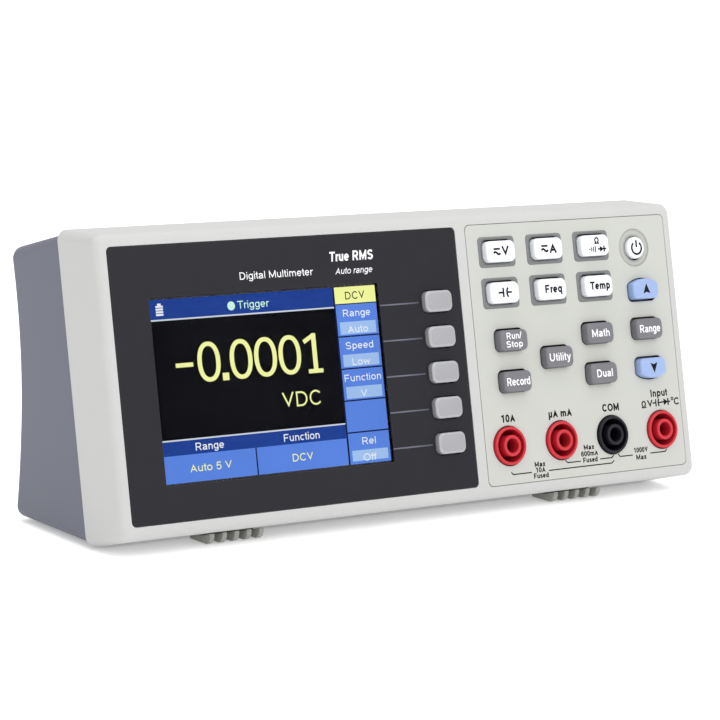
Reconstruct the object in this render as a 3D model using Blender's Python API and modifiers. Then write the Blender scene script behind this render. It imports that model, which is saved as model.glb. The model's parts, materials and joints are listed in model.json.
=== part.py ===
"""Bench multimeter: a lean-back case in two shells, with a colour display behind a dark
front panel, five soft keys, fifteen keypad keys, four 4 mm safety jacks, and two tilt feet.

Metres, +Z up, +X to the instrument's right as its user sees it, the face towards -Y.
The origin is at the centre of the bounding box's underside. Two empties carry the layout:
face_frame lies in the leaned face (local -Y out of the face, +Z up the face), and
case_frame is level and shares the same origin point, for what stands on the base.
"""
import math

import bmesh
import bpy
from mathutils import Matrix, Vector

MM = 0.001

# ---------------------------------------------------------------- driving dimensions (mm)
LEAN_DEG = 12.4                 # the face leans back from upright by this angle
FRAME_Y = -29.54
FRAME_Z = 18.9                  # both frames' origin, above the table
FACE_W, FACE_H = 198.9, 80.7    # front outline of the bezel, before its edge rounding
FACE_LOW = -13.8                # lower edge of that outline, in the face frame
FACE_CX = -0.05
SEAM_W, SEAM_LOW, SEAM_TOP = 200.0, -14.8, 70.2   # outline where the shells meet
SEAM_Y = 18.2                   # depth of the bezel behind the face
SEAM_GAP = 0.4
CORNER_R = 3.0                  # corner rounding of the case seen from the front
COVER_R = 3.2                   # corner rounding of the rear cover, and of its rear edges
COVER_REAR_R = 3.3
FRONT_R = 2.3                   # rounding of the bezel's front edge
WALL = 2.4                      # shell thickness
FRONT_WALL = 2.6                # thickness of the bezel behind the face
COVER_W = 198.6                 # the rear cover is a little smaller than the bezel
COVER_TOP = 69.2                # in the face frame, at the seam
COVER_FLOOR = -17.8             # underside of the rear cover, level
COVER_REAR = 55.6               # nearest point of the concave rear wall
COVER_REAR_TOP = 56.0           # height of the top rear corner
COVER_TAPER = 1.0               # each side draws in by this much at the rear
REAR_WAIST = 12.0               # height of the nearest point of the rear wall
REAR_BOW_UP, REAR_BOW_DOWN = 0.00356, 0.0024      # bow of the rear wall, per mm

PANEL = (-96.0, 18.2, -10.1, 63.5)      # display panel: x0, x1, z0, z1 in the face frame
PANEL_T, PANEL_R = 0.8, 1.4
FILM = (22.0, 95.9, -10.5, 63.9)        # keypad film
FILM_T, FILM_R = 0.4, 1.6
SCREEN = (-84.0, -10.56, 0.0, 48.96)    # active area of the display
WINDOW_MARGIN = 0.5
LCD_T = 3.0
GAP = 0.3

SOFTKEY_X, SOFTKEY_Z0, SOFTKEY_PITCH = 9.4, 3.1, 10.0
SOFTKEY_SIZE = (9.3, 5.9, 1.7)          # width, height, corner radius
SOFTKEY_OUT = 1.8                       # how far a key stands out of the face
WHITE_SIZE, WHITE_OUT = (10.3, 6.1, 1.7), 2.2
GREY_SIZE, GREY_OUT = (10.0, 6.0, 1.6), 2.7
ARROW_W, ARROW_H, ARROW_RISE, ARROW_OUT = 9.7, 6.0, 1.5, 2.5
POWER_R, POWER_OUT = 3.2, 1.3
KEY_TRAVEL = 1.0
KEY_GAP = 0.32                          # around each key, in its opening
FLANGE_T, FLANGE_LIP = 1.0, 1.0         # flange that keeps each key in the bezel

WHITE_KEYS = {"key_voltage": (32.8, 55.9), "key_current": (50.2, 55.9), "key_resistance": (67.6, 55.9),
              "key_capacitance": (32.8, 44.1), "key_frequency": (50.2, 44.1), "key_temperature": (67.6, 44.1)}
GREY_KEYS = {"key_run_stop": (34.0, 30.35), "key_utility": (50.1, 24.45), "key_record": (34.0, 18.55),
             "key_math": (66.0, 30.35), "key_dual": (66.0, 18.6), "key_range": (84.8, 30.45)}
ARROW_UP, ARROW_DOWN = (85.0, 42.25), (85.0, 18.8)
POWER = (83.7, 54.5)

JACKS = {"10a": 30.46, "milliamp": 49.5, "com": 68.6, "input": 87.65}
JACK_Z = 0.45
JACK_R, JACK_WELL_R, JACK_POST_R = 5.5, 4.65, 3.05
JACK_OUT, JACK_POST_OUT = 1.0, 1.7

FOOT_W, FOOT_X = 17.4, 59.35            # tilt feet: width, and distance from the centre line
FOOT_FINS, FIN_T = 5, 1.52
FOOT_AXIS = (18.0, -15.0)               # hinge axis, level frame (y, z)
SCREWS = ((-92.0, 10.5), (-92.0, 60.0), (92.0, 10.5), (92.0, 60.0))   # face frame (x, z)

COLOURS = {"bezel": (0.60, 0.60, 0.57), "slate": (0.17, 0.18, 0.22), "black": (0.03, 0.03, 0.036),
           "film": (0.62, 0.63, 0.60), "white": (0.86, 0.86, 0.86), "grey": (0.25, 0.25, 0.28),
           "softkey": (0.44, 0.44, 0.45), "blue": (0.30, 0.42, 0.74), "red": (0.55, 0.012, 0.02),
           "jack_black": (0.012, 0.014, 0.025), "foot": (0.42, 0.42, 0.40), "rubber": (0.02, 0.02, 0.02),
           "clear": (0.8, 0.85, 0.9), "screen": (0.01, 0.01, 0.015), "board": (0.02, 0.16, 0.06),
           "silicone": (0.35, 0.35, 0.36), "steel": (0.55, 0.56, 0.58), "brass": (0.72, 0.52, 0.22),
           "cell": (0.05, 0.20, 0.45), "glass": (0.75, 0.8, 0.8)}
METALS = {"steel": 0.35, "brass": 0.3}

LEAN = math.radians(LEAN_DEG)
COS, SIN = math.cos(LEAN), math.sin(LEAN)


# ---------------------------------------------------------------- scene, collections, frames
for old in list(bpy.data.objects):
    bpy.data.objects.remove(old, do_unlink=True)

PARTS = bpy.data.collections.new("bench_multimeter")
CUTTERS = bpy.data.collections.new("cutters")
for collection in (PARTS, CUTTERS):
    bpy.context.scene.collection.children.link(collection)


def frame_empty(name, lean):
    empty = bpy.data.objects.new(name, None)
    empty.empty_display_size = 0.02
    empty.location = (0.0, FRAME_Y * MM, FRAME_Z * MM)
    empty.rotation_euler = (-lean, 0.0, 0.0)
    PARTS.objects.link(empty)
    return empty


FACE_FRAME = frame_empty("face_frame", LEAN)
CASE_FRAME = frame_empty("case_frame", 0.0)


def material(key):
    found = bpy.data.materials.get(key)
    if found:
        return found
    made = bpy.data.materials.new(key)
    made.use_nodes = True
    shader = made.node_tree.nodes["Principled BSDF"]
    shader.inputs["Base Color"].default_value = (*COLOURS[key], 1.0)
    shader.inputs["Roughness"].default_value = METALS.get(key, 0.5)
    shader.inputs["Metallic"].default_value = 1.0 if key in METALS else 0.0
    made.diffuse_color = (*COLOURS[key], 1.0)
    return made


def place(name, bm, key, frame, at=(0.0, 0.0, 0.0), turn=(0.0, 0.0, 0.0), cutter=False):
    """Makes bm an object of this name at a point (mm) of a frame."""
    bmesh.ops.recalc_face_normals(bm, faces=bm.faces)
    mesh = bpy.data.meshes.new(name)
    bm.to_mesh(mesh)
    bm.free()
    obj = bpy.data.objects.new(name, mesh)
    (CUTTERS if cutter else PARTS).objects.link(obj)
    obj.parent = frame
    obj.location = Vector(at) * MM
    obj.rotation_euler = turn
    if cutter:
        obj.hide_render = True
        obj.display_type = "WIRE"
    else:
        mesh.materials.append(material(key))
        mesh.shade_smooth()
        mesh.set_sharp_from_angle(angle=math.radians(35))
    return obj


def boolean(obj, other, operation="DIFFERENCE"):
    modifier = obj.modifiers.new(other.name, "BOOLEAN")
    modifier.operation = operation
    modifier.solver = "EXACT"
    modifier.object = other


# ---------------------------------------------------------------- outlines (mm, x and z)
def arc(cx, cz, r, start, stop, steps):
    return [(cx + r * math.cos(math.radians(start + (stop - start) * i / steps)),
             cz + r * math.sin(math.radians(start + (stop - start) * i / steps))) for i in range(steps + 1)]


def rounded(w, h, r, steps=2, cx=0.0, cz=0.0):
    x, z = w / 2 - r, h / 2 - r
    points = []
    for sx, sz, start in ((1, 1, 0), (-1, 1, 90), (-1, -1, 180), (1, -1, 270)):
        points += arc(cx + sx * x, cz + sz * z, r, start, start + 90, steps)
    return points


def circle(r, steps=20, cx=0.0, cz=0.0):
    return arc(cx, cz, r, 0, 360 - 360 / steps, steps - 1)


def arched(w, h, rise, up=True, grow=0.0, steps=6, cx=0.0, cz=0.0):
    """A key outline with one flat edge and one arched edge, rounded where they meet."""
    w, h, rise = w + 2 * grow, h + 2 * grow, rise
    half, low, high = w / 2, -h / 2, h / 2
    r = 1.5
    points = [(-half, low + r), *arc(-half + r, low + r, r, 180, 270, 2)[1:-1], (-half + r, low),
              (half - r, low), *arc(half - r, low + r, r, 270, 360, 2)[1:-1], (half, low + r)]
    bow = (rise * rise + half * half) / (2 * rise)
    span = math.degrees(math.asin((half - 0.7) / bow))
    top = arc(0.0, high - bow, bow, 90 - span, 90 + span, steps)
    points += [(half, high - rise - 0.4), *top, (-half, high - rise - 0.4)]
    flip = 1 if up else -1
    return [(cx + x, cz + flip * z) for x, z in points]


def box_outline(x0, x1, z0, z1, r=0.0, steps=2):
    if r:
        return rounded(x1 - x0, z1 - z0, r, steps, (x0 + x1) / 2, (z0 + z1) / 2)
    return [(x0, z0), (x1, z0), (x1, z1), (x0, z1)]


# ---------------------------------------------------------------- solids
def add_prism(bm, outline, y0, y1):
    """One flat outline in x and z, extruded from depth y0 to y1 (mm)."""
    verts = [bm.verts.new((x * MM, y0 * MM, z * MM)) for x, z in outline]
    face = bm.faces.new(verts)
    grown = bmesh.ops.extrude_face_region(bm, geom=[face])
    moved = [v for v in grown["geom"] if isinstance(v, bmesh.types.BMVert)]
    bmesh.ops.translate(bm, verts=moved, vec=(0.0, (y1 - y0) * MM, 0.0))


def prisms(*parts):
    bm = bmesh.new()
    for outline, y0, y1 in parts:
        add_prism(bm, outline, y0, y1)
    return bm


def add_box(bm, x0, x1, y0, y1, z0, z1):
    size = Vector((x1 - x0, y1 - y0, z1 - z0)) * MM
    centre = Vector((x0 + x1, y0 + y1, z0 + z1)) * MM / 2
    bmesh.ops.create_cube(bm, size=1.0, matrix=Matrix.Translation(centre) @ Matrix.Diagonal((*size, 1.0)))


def boxes(*limits):
    bm = bmesh.new()
    for limit in limits:
        add_box(bm, *limit)
    return bm


def add_cylinder(bm, r, low, high, x, y, z, axis="Y", steps=16):
    turn = {"X": Matrix.Rotation(math.radians(90), 4, "Y"), "Y": Matrix.Rotation(math.radians(90), 4, "X"),
            "Z": Matrix.Identity(4)}[axis]
    middle = (low + high) / 2
    centre = {"X": (x + middle, y, z), "Y": (x, y + middle, z), "Z": (x, y, z + middle)}[axis]
    bmesh.ops.create_cone(bm, cap_ends=True, segments=steps, radius1=r * MM, radius2=r * MM,
                          depth=(high - low) * MM, matrix=Matrix.Translation(Vector(centre) * MM) @ turn)


def turned(name, profile, key, frame, at, steps=20, turn=(math.radians(90), 0.0, 0.0), closed=False):
    """A profile of (radius, height) turned about local Z, by a Screw modifier."""
    bm = bmesh.new()
    verts = [bm.verts.new((r * MM, 0.0, z * MM)) for r, z in profile]
    for a, b in zip(verts, verts[1:]):
        bm.edges.new((a, b))
    if closed:
        bm.edges.new((verts[-1], verts[0]))
    mesh = bpy.data.meshes.new(name)
    bm.to_mesh(mesh)
    bm.free()
    obj = bpy.data.objects.new(name, mesh)
    PARTS.objects.link(obj)
    obj.parent = frame
    obj.location = Vector(at) * MM
    obj.rotation_euler = turn
    mesh.materials.append(material(key))
    screw = obj.modifiers.new("turn", "SCREW")
    screw.axis = "Z"
    screw.steps = screw.render_steps = steps
    screw.use_merge_vertices = True
    screw.merge_threshold = 0.00001
    screw.use_smooth_shade = True
    return obj


def keycap(name, outline, key, at, out):
    """A key: flange behind the bezel, shank through it, cap with a chamfered front edge."""
    bm = bmesh.new()
    back = FRONT_WALL + GAP + FLANGE_T
    verts = [bm.verts.new((x * MM, back * MM, z * MM)) for x, z in outline]
    face = bm.faces.new(verts)
    bmesh.ops.recalc_face_normals(bm, faces=[face])
    if face.normal.y > 0:
        face.normal_flip()
    foot = bmesh.ops.extrude_face_region(bm, geom=[face])
    front = next(f for f in foot["geom"] if isinstance(f, bmesh.types.BMFace))
    bmesh.ops.translate(bm, verts=front.verts, vec=(0.0, -FLANGE_T * MM, 0.0))
    bmesh.ops.inset_region(bm, faces=[front], thickness=(FLANGE_LIP + KEY_GAP) * MM, use_even_offset=True)
    for rise in (FRONT_WALL + GAP + out - 0.5,):
        cap = bmesh.ops.extrude_face_region(bm, geom=[front])
        bm.faces.remove(front) if front.is_valid and front not in cap["geom"] else None
        front = next(f for f in cap["geom"] if isinstance(f, bmesh.types.BMFace))
        bmesh.ops.translate(bm, verts=front.verts, vec=(0.0, -rise * MM, 0.0))
    cap = bmesh.ops.extrude_face_region(bm, geom=[front])
    bm.faces.remove(front) if front.is_valid and front not in cap["geom"] else None
    front = next(f for f in cap["geom"] if isinstance(f, bmesh.types.BMFace))
    middle = front.calc_center_median()
    bmesh.ops.translate(bm, verts=front.verts, vec=(0.0, -0.5 * MM, 0.0))
    lo = [min(v.co[i] for v in front.verts) for i in (0, 2)]
    hi = [max(v.co[i] for v in front.verts) for i in (0, 2)]
    shrink = [1 - 2 * 0.5 * MM / (hi[i] - lo[i]) for i in (0, 1)]
    for v in front.verts:
        v.co.x = middle.x + (v.co.x - middle.x) * shrink[0]
        v.co.z = middle.z + (v.co.z - middle.z) * shrink[1]
    x, z = at
    return place(name, bm, key, FACE_FRAME, (x, 0.0, z))


def flange(size):
    grow = FLANGE_LIP + KEY_GAP
    return rounded(size[0] + 2 * grow, size[1] + 2 * grow, size[2] + grow)


def opening(size, at, more=0.0):
    grow = KEY_GAP + more
    return rounded(size[0] + 2 * grow, size[1] + 2 * grow, size[2] + grow, 2, *at)


# ---------------------------------------------------------------- where the openings are
softkey_at = {f"softkey_{i + 1}": (SOFTKEY_X, SOFTKEY_Z0 + (4 - i) * SOFTKEY_PITCH) for i in range(5)}


def key_openings(more=0.0):
    outlines = [opening(WHITE_SIZE, at, more) for at in WHITE_KEYS.values()]
    outlines += [opening(GREY_SIZE, at, more) for at in GREY_KEYS.values()]
    outlines += [arched(ARROW_W, ARROW_H, ARROW_RISE, up, KEY_GAP + 0.15 + more, 6, *at)
                 for up, at in ((True, ARROW_UP), (False, ARROW_DOWN))]
    outlines.append(circle(POWER_R + KEY_GAP + more, 16, *POWER))
    return outlines


def jack_openings(r):
    return [circle(r, 20, x, JACK_Z) for x in JACKS.values()]


# ---------------------------------------------------------------- front bezel
def tapered_block(front, back):
    """A block between two upright rectangles (x0, x1, z0, z1, y), as eight moved corners of a cube."""
    bm = bmesh.new()
    bmesh.ops.create_cube(bm, size=2.0)
    for v in bm.verts:
        x0, x1, z0, z1, y = front if v.co.y < 0 else back
        v.co = Vector((x1 if v.co.x > 0 else x0, y, z1 if v.co.z > 0 else z0)) * MM
    return bm


def round_edges(bm, chosen, r, steps):
    edges = [e for e in bm.edges if chosen(e)]
    bmesh.ops.bevel(bm, geom=edges, offset=r * MM, offset_type="OFFSET", segments=steps, profile=0.5,
                    affect="EDGES", clamp_overlap=True)


bm = tapered_block((FACE_CX - FACE_W / 2, FACE_CX + FACE_W / 2, FACE_LOW, FACE_LOW + FACE_H, 0.0),
                   (-SEAM_W / 2, SEAM_W / 2, SEAM_LOW, SEAM_TOP, SEAM_Y))
round_edges(bm, lambda e: abs(e.verts[0].co.y - e.verts[1].co.y) > 5 * MM, CORNER_R, 4)
round_edges(bm, lambda e: all(abs(v.co.y) < 1e-6 for v in e.verts), FRONT_R, 3)
bezel = place("front_bezel", bm, "bezel", FACE_FRAME)
bm = tapered_block((FACE_CX - FACE_W / 2 + WALL, FACE_CX + FACE_W / 2 - WALL, FACE_LOW + WALL, FACE_LOW + FACE_H - WALL, FRONT_WALL),
                   (-SEAM_W / 2 + WALL, SEAM_W / 2 - WALL, SEAM_LOW + WALL, SEAM_TOP - WALL, SEAM_Y + 2.0))
round_edges(bm, lambda e: abs(e.verts[0].co.y - e.verts[1].co.y) > 5 * MM, 2.0, 3)
boolean(bezel, place("bezel_inside", bm, "", FACE_FRAME, cutter=True))

bm = bmesh.new()
for x, z in SCREWS:
    add_cylinder(bm, 3.2, 1.8, SEAM_Y - 0.4, x, 0.0, z)
boolean(bezel, place("bezel_posts", bm, "", FACE_FRAME, cutter=True), "UNION")
bm = bmesh.new()
for x, z in SCREWS:
    add_cylinder(bm, 1.7, 7.0, SEAM_Y + 2.0, x, 0.0, z, steps=12)
boolean(bezel, place("bezel_post_holes", bm, "", FACE_FRAME, cutter=True))
lcd = (SCREEN[0] - 2.0, SCREEN[1] + 2.0, SCREEN[2] - 5.6, SCREEN[3] + 3.6)
boolean(bezel, place("bezel_recesses", prisms(
    (box_outline(PANEL[0] - 0.15, PANEL[1] + 0.15, PANEL[2] - 0.15, PANEL[3] + 0.15, PANEL_R), -2.0, PANEL_T + GAP),
    (box_outline(FILM[0] - 0.15, FILM[1] + 0.15, FILM[2] - 0.15, FILM[3] + 0.15, FILM_R), -2.0, FILM_T + 0.2)),
    "", FACE_FRAME, cutter=True))
holes = [(box_outline(lcd[0] - GAP, lcd[1] + GAP, lcd[2] - GAP, lcd[3] + GAP), -3.0, 6.0)]
holes += [(opening(SOFTKEY_SIZE, at, 0.05), -3.0, 6.0) for at in softkey_at.values()]
holes += [(outline, -3.0, 6.0) for outline in key_openings(0.05) + jack_openings(JACK_R + GAP)]
boolean(bezel, place("bezel_openings", prisms(*holes), "", FACE_FRAME, cutter=True))

# ---------------------------------------------------------------- rear cover
def seam_y(z):
    """Level-frame depth of the cover's front plane at height z."""
    return ((SEAM_Y + SEAM_GAP) + z * SIN) / COS


def rear_y(z):
    bow = REAR_BOW_UP if z > REAR_WAIST else REAR_BOW_DOWN
    return COVER_REAR + bow * (z - REAR_WAIST) ** 2


cover_top_z = COVER_TOP * COS - (SEAM_Y + SEAM_GAP) * SIN
bm = bmesh.new()
bmesh.ops.create_cube(bm, size=2.0)
for v in bm.verts:
    front, top = v.co.y < 0, v.co.z > 0
    z = (cover_top_z if front else COVER_REAR_TOP) if top else COVER_FLOOR
    y = seam_y(z) if front else COVER_REAR
    v.co = Vector(((COVER_W / 2 - (0.0 if front else COVER_TAPER)) * (1 if v.co.x > 0 else -1), y, z)) * MM
round_edges(bm, lambda e: abs(e.verts[0].co.y - e.verts[1].co.y) > 15 * MM and abs(e.verts[0].co.z - e.verts[1].co.z) < 10 * MM,
            COVER_R, 4)
round_edges(bm, lambda e: all(abs(v.co.y - COVER_REAR * MM) < 1e-6 for v in e.verts), COVER_REAR_R, 3)
for z in (-8.0, 0.0, 8.0, 16.0, 24.0, 32.0, 40.0, 47.0):
    bmesh.ops.bisect_plane(bm, geom=bm.verts[:] + bm.edges[:] + bm.faces[:], plane_co=(0.0, 0.0, z * MM),
                           plane_no=(0.0, 0.0, 1.0), dist=1e-6)
bmesh.ops.recalc_face_normals(bm, faces=bm.faces)
front = [f for f in bm.faces if all(abs(v.co.y / MM - seam_y(v.co.z / MM)) < 0.02 for v in f.verts)]
bmesh.ops.delete(bm, geom=front, context="FACES_ONLY")
for v in bm.verts:
    y, z = v.co.y / MM, v.co.z / MM
    along = (y - seam_y(z)) / (COVER_REAR - seam_y(z))
    v.co.y = (seam_y(z) + along * (rear_y(z) - seam_y(z))) * MM
bmesh.ops.delete(bm, geom=[v for v in bm.verts if not v.link_faces], context="VERTS")
cover = bpy.data.meshes.new("rear_cover")
bm.to_mesh(cover)
bm.free()
cover.materials.append(material("slate"))
cover.shade_smooth()
cover.set_sharp_from_angle(angle=math.radians(35))
cover = bpy.data.objects.new("rear_cover", cover)
PARTS.objects.link(cover)
cover.parent = CASE_FRAME
solidify = cover.modifiers.new("wall", "SOLIDIFY")
solidify.thickness = WALL * MM
solidify.offset = -1.0
solidify.use_even_offset = True
boolean(cover, place("cover_front_trim", boxes((-120.0, 120.0, 4.0, SEAM_Y + SEAM_GAP + 0.02, -40.0, 100.0)), "", FACE_FRAME, cutter=True))

# locating lip inside the bezel, and screw posts down to it
lip_out = (SEAM_W - 2 * (WALL + GAP) - 0.3, SEAM_TOP - SEAM_LOW - 2 * (WALL + GAP) - 1.1)
lip_mid = (SEAM_LOW + SEAM_TOP) / 2 - 0.25
lip = place("cover_lip", prisms((rounded(lip_out[0], lip_out[1], 4.0, 3, 0.0, lip_mid), 16.6, 21.5)), "", FACE_FRAME, cutter=True)
boolean(lip, place("cover_lip_inside", prisms((rounded(lip_out[0] - 2.4, lip_out[1] - 2.4, 2.9, 3, 0.0, lip_mid), 15.0, 23.0)),
                   "", FACE_FRAME, cutter=True))
boolean(cover, lip, "UNION")


def rear_depth(z):
    """Face-frame depth of the rear wall's outside, at face height z."""
    low, high = 20.0, 80.0
    for _ in range(40):
        middle = (low + high) / 2
        if middle * COS + z * SIN < rear_y(z * COS - middle * SIN):
            low = middle
        else:
            high = middle
    return low


bm = bmesh.new()
for x, z in SCREWS:
    add_cylinder(bm, 4.3, 20.0, rear_depth(z) - 1.0, x, 0.0, z)
boolean(cover, place("cover_posts", bm, "", FACE_FRAME, cutter=True), "UNION")
bm = bmesh.new()
for side in (-1, 1):
    add_box(bm, side * FOOT_X - FOOT_W / 2 - 2.9, side * FOOT_X + FOOT_W / 2 + 2.9, 17.6, 22.2, COVER_FLOOR + 1.2, -11.3)
boolean(cover, place("foot_bosses", bm, "", CASE_FRAME, cutter=True), "UNION")
bm = bmesh.new()
for x, z in SCREWS:
    add_cylinder(bm, 3.6, 15.0, SEAM_Y + 0.1, x, 0.0, z)
boolean(cover, place("lip_post_gaps", bm, "", FACE_FRAME, cutter=True))
bm = bmesh.new()
for x, z in SCREWS:
    add_cylinder(bm, 1.9, 17.0, 60.0, x, 0.0, z, steps=12)
boolean(cover, place("cover_post_holes", bm, "", FACE_FRAME, cutter=True))
bm = bmesh.new()
for x, z in SCREWS:
    add_cylinder(bm, 3.2, rear_depth(z) - 7.0, 75.0, x, 0.0, z, steps=16)
boolean(cover, place("cover_screw_wells", bm, "", FACE_FRAME, cutter=True))
bm = bmesh.new()
for side in (-1, 1):
    add_box(bm, side * FOOT_X - FOOT_W / 2 - 0.35, side * FOOT_X + FOOT_W / 2 + 0.35, 8.6, 20.3, -22.0, -15.7)
foot_slots = place("foot_slots", bm, "", CASE_FRAME, cutter=True)
boolean(bezel, foot_slots)
bm = bmesh.new()
for side in (-1, 1):
    add_box(bm, side * FOOT_X - FOOT_W / 2 - 0.35, side * FOOT_X + FOOT_W / 2 + 0.35, 14.0, 20.8, -22.0, -12.8)
boolean(cover, place("foot_pockets", bm, "", CASE_FRAME, cutter=True))
bm = bmesh.new()
for side in (-1, 1):
    add_cylinder(bm, 1.3, -FOOT_W / 2 - 2.3, FOOT_W / 2 + 2.3, side * FOOT_X, *FOOT_AXIS, axis="X", steps=12)
boolean(cover, place("foot_pin_holes", bm, "", CASE_FRAME, cutter=True))

# ports in the rear wall, in one shallow flat recess, and holes for the rear feet
PORT_Z, DC_X, USB_X = 2.0, -74.0, -52.0
REAR_FOOT_X, REAR_FOOT_Y = 78.0, 48.0
boolean(cover, place("port_recess", prisms((box_outline(-84.0, -42.0, PORT_Z - 9.0, PORT_Z + 9.0, 2.0), 54.9, 62.0)),
                     "", CASE_FRAME, cutter=True))
boolean(cover, place("port_openings", prisms((circle(4.4, 16, DC_X, PORT_Z), 48.0, 60.0),
                                             (box_outline(USB_X - 6.4, USB_X + 6.4, PORT_Z - 5.8, PORT_Z + 5.8), 48.0, 60.0)),
                     "", CASE_FRAME, cutter=True))
bm = bmesh.new()
for side in (-1, 1):
    add_cylinder(bm, 2.5, -20.0, -12.0, side * REAR_FOOT_X, REAR_FOOT_Y, 0.0, axis="Z", steps=12)
boolean(cover, place("rear_foot_holes", bm, "", CASE_FRAME, cutter=True))

# ---------------------------------------------------------------- display stack
window = (SCREEN[0] - WINDOW_MARGIN, SCREEN[1] + WINDOW_MARGIN, SCREEN[2] - WINDOW_MARGIN, SCREEN[3] + WINDOW_MARGIN)
overlay = place("display_overlay", prisms((box_outline(*PANEL, PANEL_R, 3), 0.0, PANEL_T)), "black", FACE_FRAME)
boolean(overlay, place("overlay_openings", prisms((box_outline(*window, 0.5), -2.0, 3.0),
        *[(opening(SOFTKEY_SIZE, at), -2.0, 3.0) for at in softkey_at.values()]), "", FACE_FRAME, cutter=True))
place("display_lens", prisms((box_outline(window[0] + 0.15, window[1] - 0.15, window[2] + 0.15, window[3] - 0.15, 0.4), 0.02, PANEL_T)),
      "clear", FACE_FRAME)
place("lcd_panel", boxes((lcd[0], lcd[1], PANEL_T + GAP, PANEL_T + GAP + LCD_T, lcd[2], lcd[3])), "screen", FACE_FRAME)
tray = place("lcd_frame", boxes((lcd[0] - 1.6, lcd[1] + 1.6, 3.2, 6.2, lcd[2] - 1.6, lcd[3] + 1.6)), "steel", FACE_FRAME)
boolean(tray, place("lcd_frame_inside", boxes((lcd[0] - 0.9, lcd[1] + 0.9, 1.0, 5.4, lcd[2] - 0.9, lcd[3] + 0.9)),
                    "", FACE_FRAME, cutter=True))
boolean(tray, place("lcd_frame_window", boxes((lcd[0] + 8.0, lcd[1] - 8.0, 3.0, 9.0, lcd[2] + 8.0, lcd[3] - 8.0)),
                    "", FACE_FRAME, cutter=True))
boolean(bezel, place("lcd_frame_seat", boxes((lcd[0] - 1.9, lcd[1] + 1.9, 2.3, 9.0, lcd[2] - 1.9, lcd[3] + 1.9)),
                     "", FACE_FRAME, cutter=True))

# ---------------------------------------------------------------- keypad film and keys
film = place("keypad_film", prisms((box_outline(*FILM, FILM_R, 3), 0.0, FILM_T)), "film", FACE_FRAME)
boolean(film, place("film_openings", prisms(*[(outline, -2.0, 3.0) for outline in key_openings() + jack_openings(JACK_R + GAP)]),
                    "", FACE_FRAME, cutter=True))

for name, at in softkey_at.items():
    keycap(name, flange(SOFTKEY_SIZE), "softkey", at, SOFTKEY_OUT)
for name, at in WHITE_KEYS.items():
    keycap(name, flange(WHITE_SIZE), "white", at, WHITE_OUT)
for name, at in GREY_KEYS.items():
    keycap(name, flange(GREY_SIZE), "grey", at, GREY_OUT)
for name, up, at in (("key_arrow_up", True, ARROW_UP), ("key_arrow_down", False, ARROW_DOWN)):
    keycap(name, arched(ARROW_W, ARROW_H, ARROW_RISE, up, FLANGE_LIP + KEY_GAP), "blue", at, ARROW_OUT)
keycap("power_button", circle(POWER_R + FLANGE_LIP + KEY_GAP, 16), "white", POWER, POWER_OUT)

# ---------------------------------------------------------------- input jacks
for name, x in JACKS.items():
    lip_r, bore_r = 2.1, 2.65
    turned(f"jack_housing_{name}", [
        (JACK_R, JACK_OUT), (JACK_R, -2.9), (6.2, -2.9), (6.2, -4.4), (JACK_R, -4.4), (JACK_R, -16.0), (bore_r, -16.0),
        (bore_r, -2.4), (lip_r, -2.4), (lip_r, JACK_POST_OUT), (JACK_POST_R, JACK_POST_OUT), (JACK_POST_R, -12.0),
        (JACK_WELL_R, -12.0), (JACK_WELL_R, JACK_OUT)],
        "jack_black" if name == "com" else "red", FACE_FRAME, (x, 0.0, JACK_Z), closed=True)
    turned(f"jack_contact_{name}", [
        (0.0, -14.0), (2.0, -14.0), (2.0, -6.5), (2.35, -6.5), (2.35, -17.5), (0.9, -17.5), (0.9, -23.0), (0.0, -23.0)],
        "brass", FACE_FRAME, (x, 0.0, JACK_Z), steps=12)

# ---------------------------------------------------------------- key mats and boards
MAT_Y, MAT_T, DOME_Y = 7.0, 1.2, 5.3
bm = bmesh.new()
for x, z in SCREWS:
    add_cylinder(bm, 4.7, 4.0, 26.0, x, 0.0, z)
post_notches = place("post_notches", bm, "", FACE_FRAME, cutter=True)
key_at = [*WHITE_KEYS.values(), *GREY_KEYS.values(), ARROW_UP, ARROW_DOWN, POWER]


def mat(name, limits, centres):
    sheet = place(name, boxes((limits[0], limits[1], MAT_Y, MAT_Y + MAT_T, limits[2], limits[3])), "silicone", FACE_FRAME)
    domes = boxes(*[(x - 2.6, x + 2.6, DOME_Y, MAT_Y + 0.6, z - 1.8, z + 1.8) for x, z in centres])
    boolean(sheet, place(name + "_domes", domes, "", FACE_FRAME, cutter=True), "UNION")
    boolean(sheet, post_notches)
    return sheet


mat("softkey_mat", (2.5, 17.7, -2.0, 48.2), softkey_at.values())
mat("keypad_mat", (25.5, 90.8, 9.5, 60.5), key_at)

board = place("key_pcb", boxes((-4.0, 90.8, 8.6, 10.2, -8.0, 61.5)), "board", FACE_FRAME)
boolean(board, place("key_pcb_holes", prisms(*[(outline, 6.0, 12.0) for outline in jack_openings(JACK_R + 0.5)]),
                     "", FACE_FRAME, cutter=True))
boolean(board, post_notches)
board = place("main_pcb", boxes((-86.0, 89.5, 20.2, 21.8, -5.5, 61.5)), "board", FACE_FRAME)
bm = boxes((-50.0, -30.0, 21.0, 23.6, 20.0, 40.0), (-20.0, -8.0, 21.0, 23.2, 34.0, 46.0), (66.0, 78.0, 21.0, 33.0, 10.0, 26.0),
           (20.0, 28.0, 21.0, 27.0, 40.0, 52.0), (-70.0, -62.0, 21.0, 29.0, 30.0, 38.0))
boolean(board, place("main_pcb_components", bm, "", FACE_FRAME, cutter=True), "UNION")
bm = bmesh.new()
for x in JACKS.values():
    add_cylinder(bm, 1.2, 18.0, 24.0, x, 0.0, JACK_Z, steps=12)
boolean(board, place("main_pcb_holes", bm, "", FACE_FRAME, cutter=True))
boolean(board, post_notches)
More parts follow.
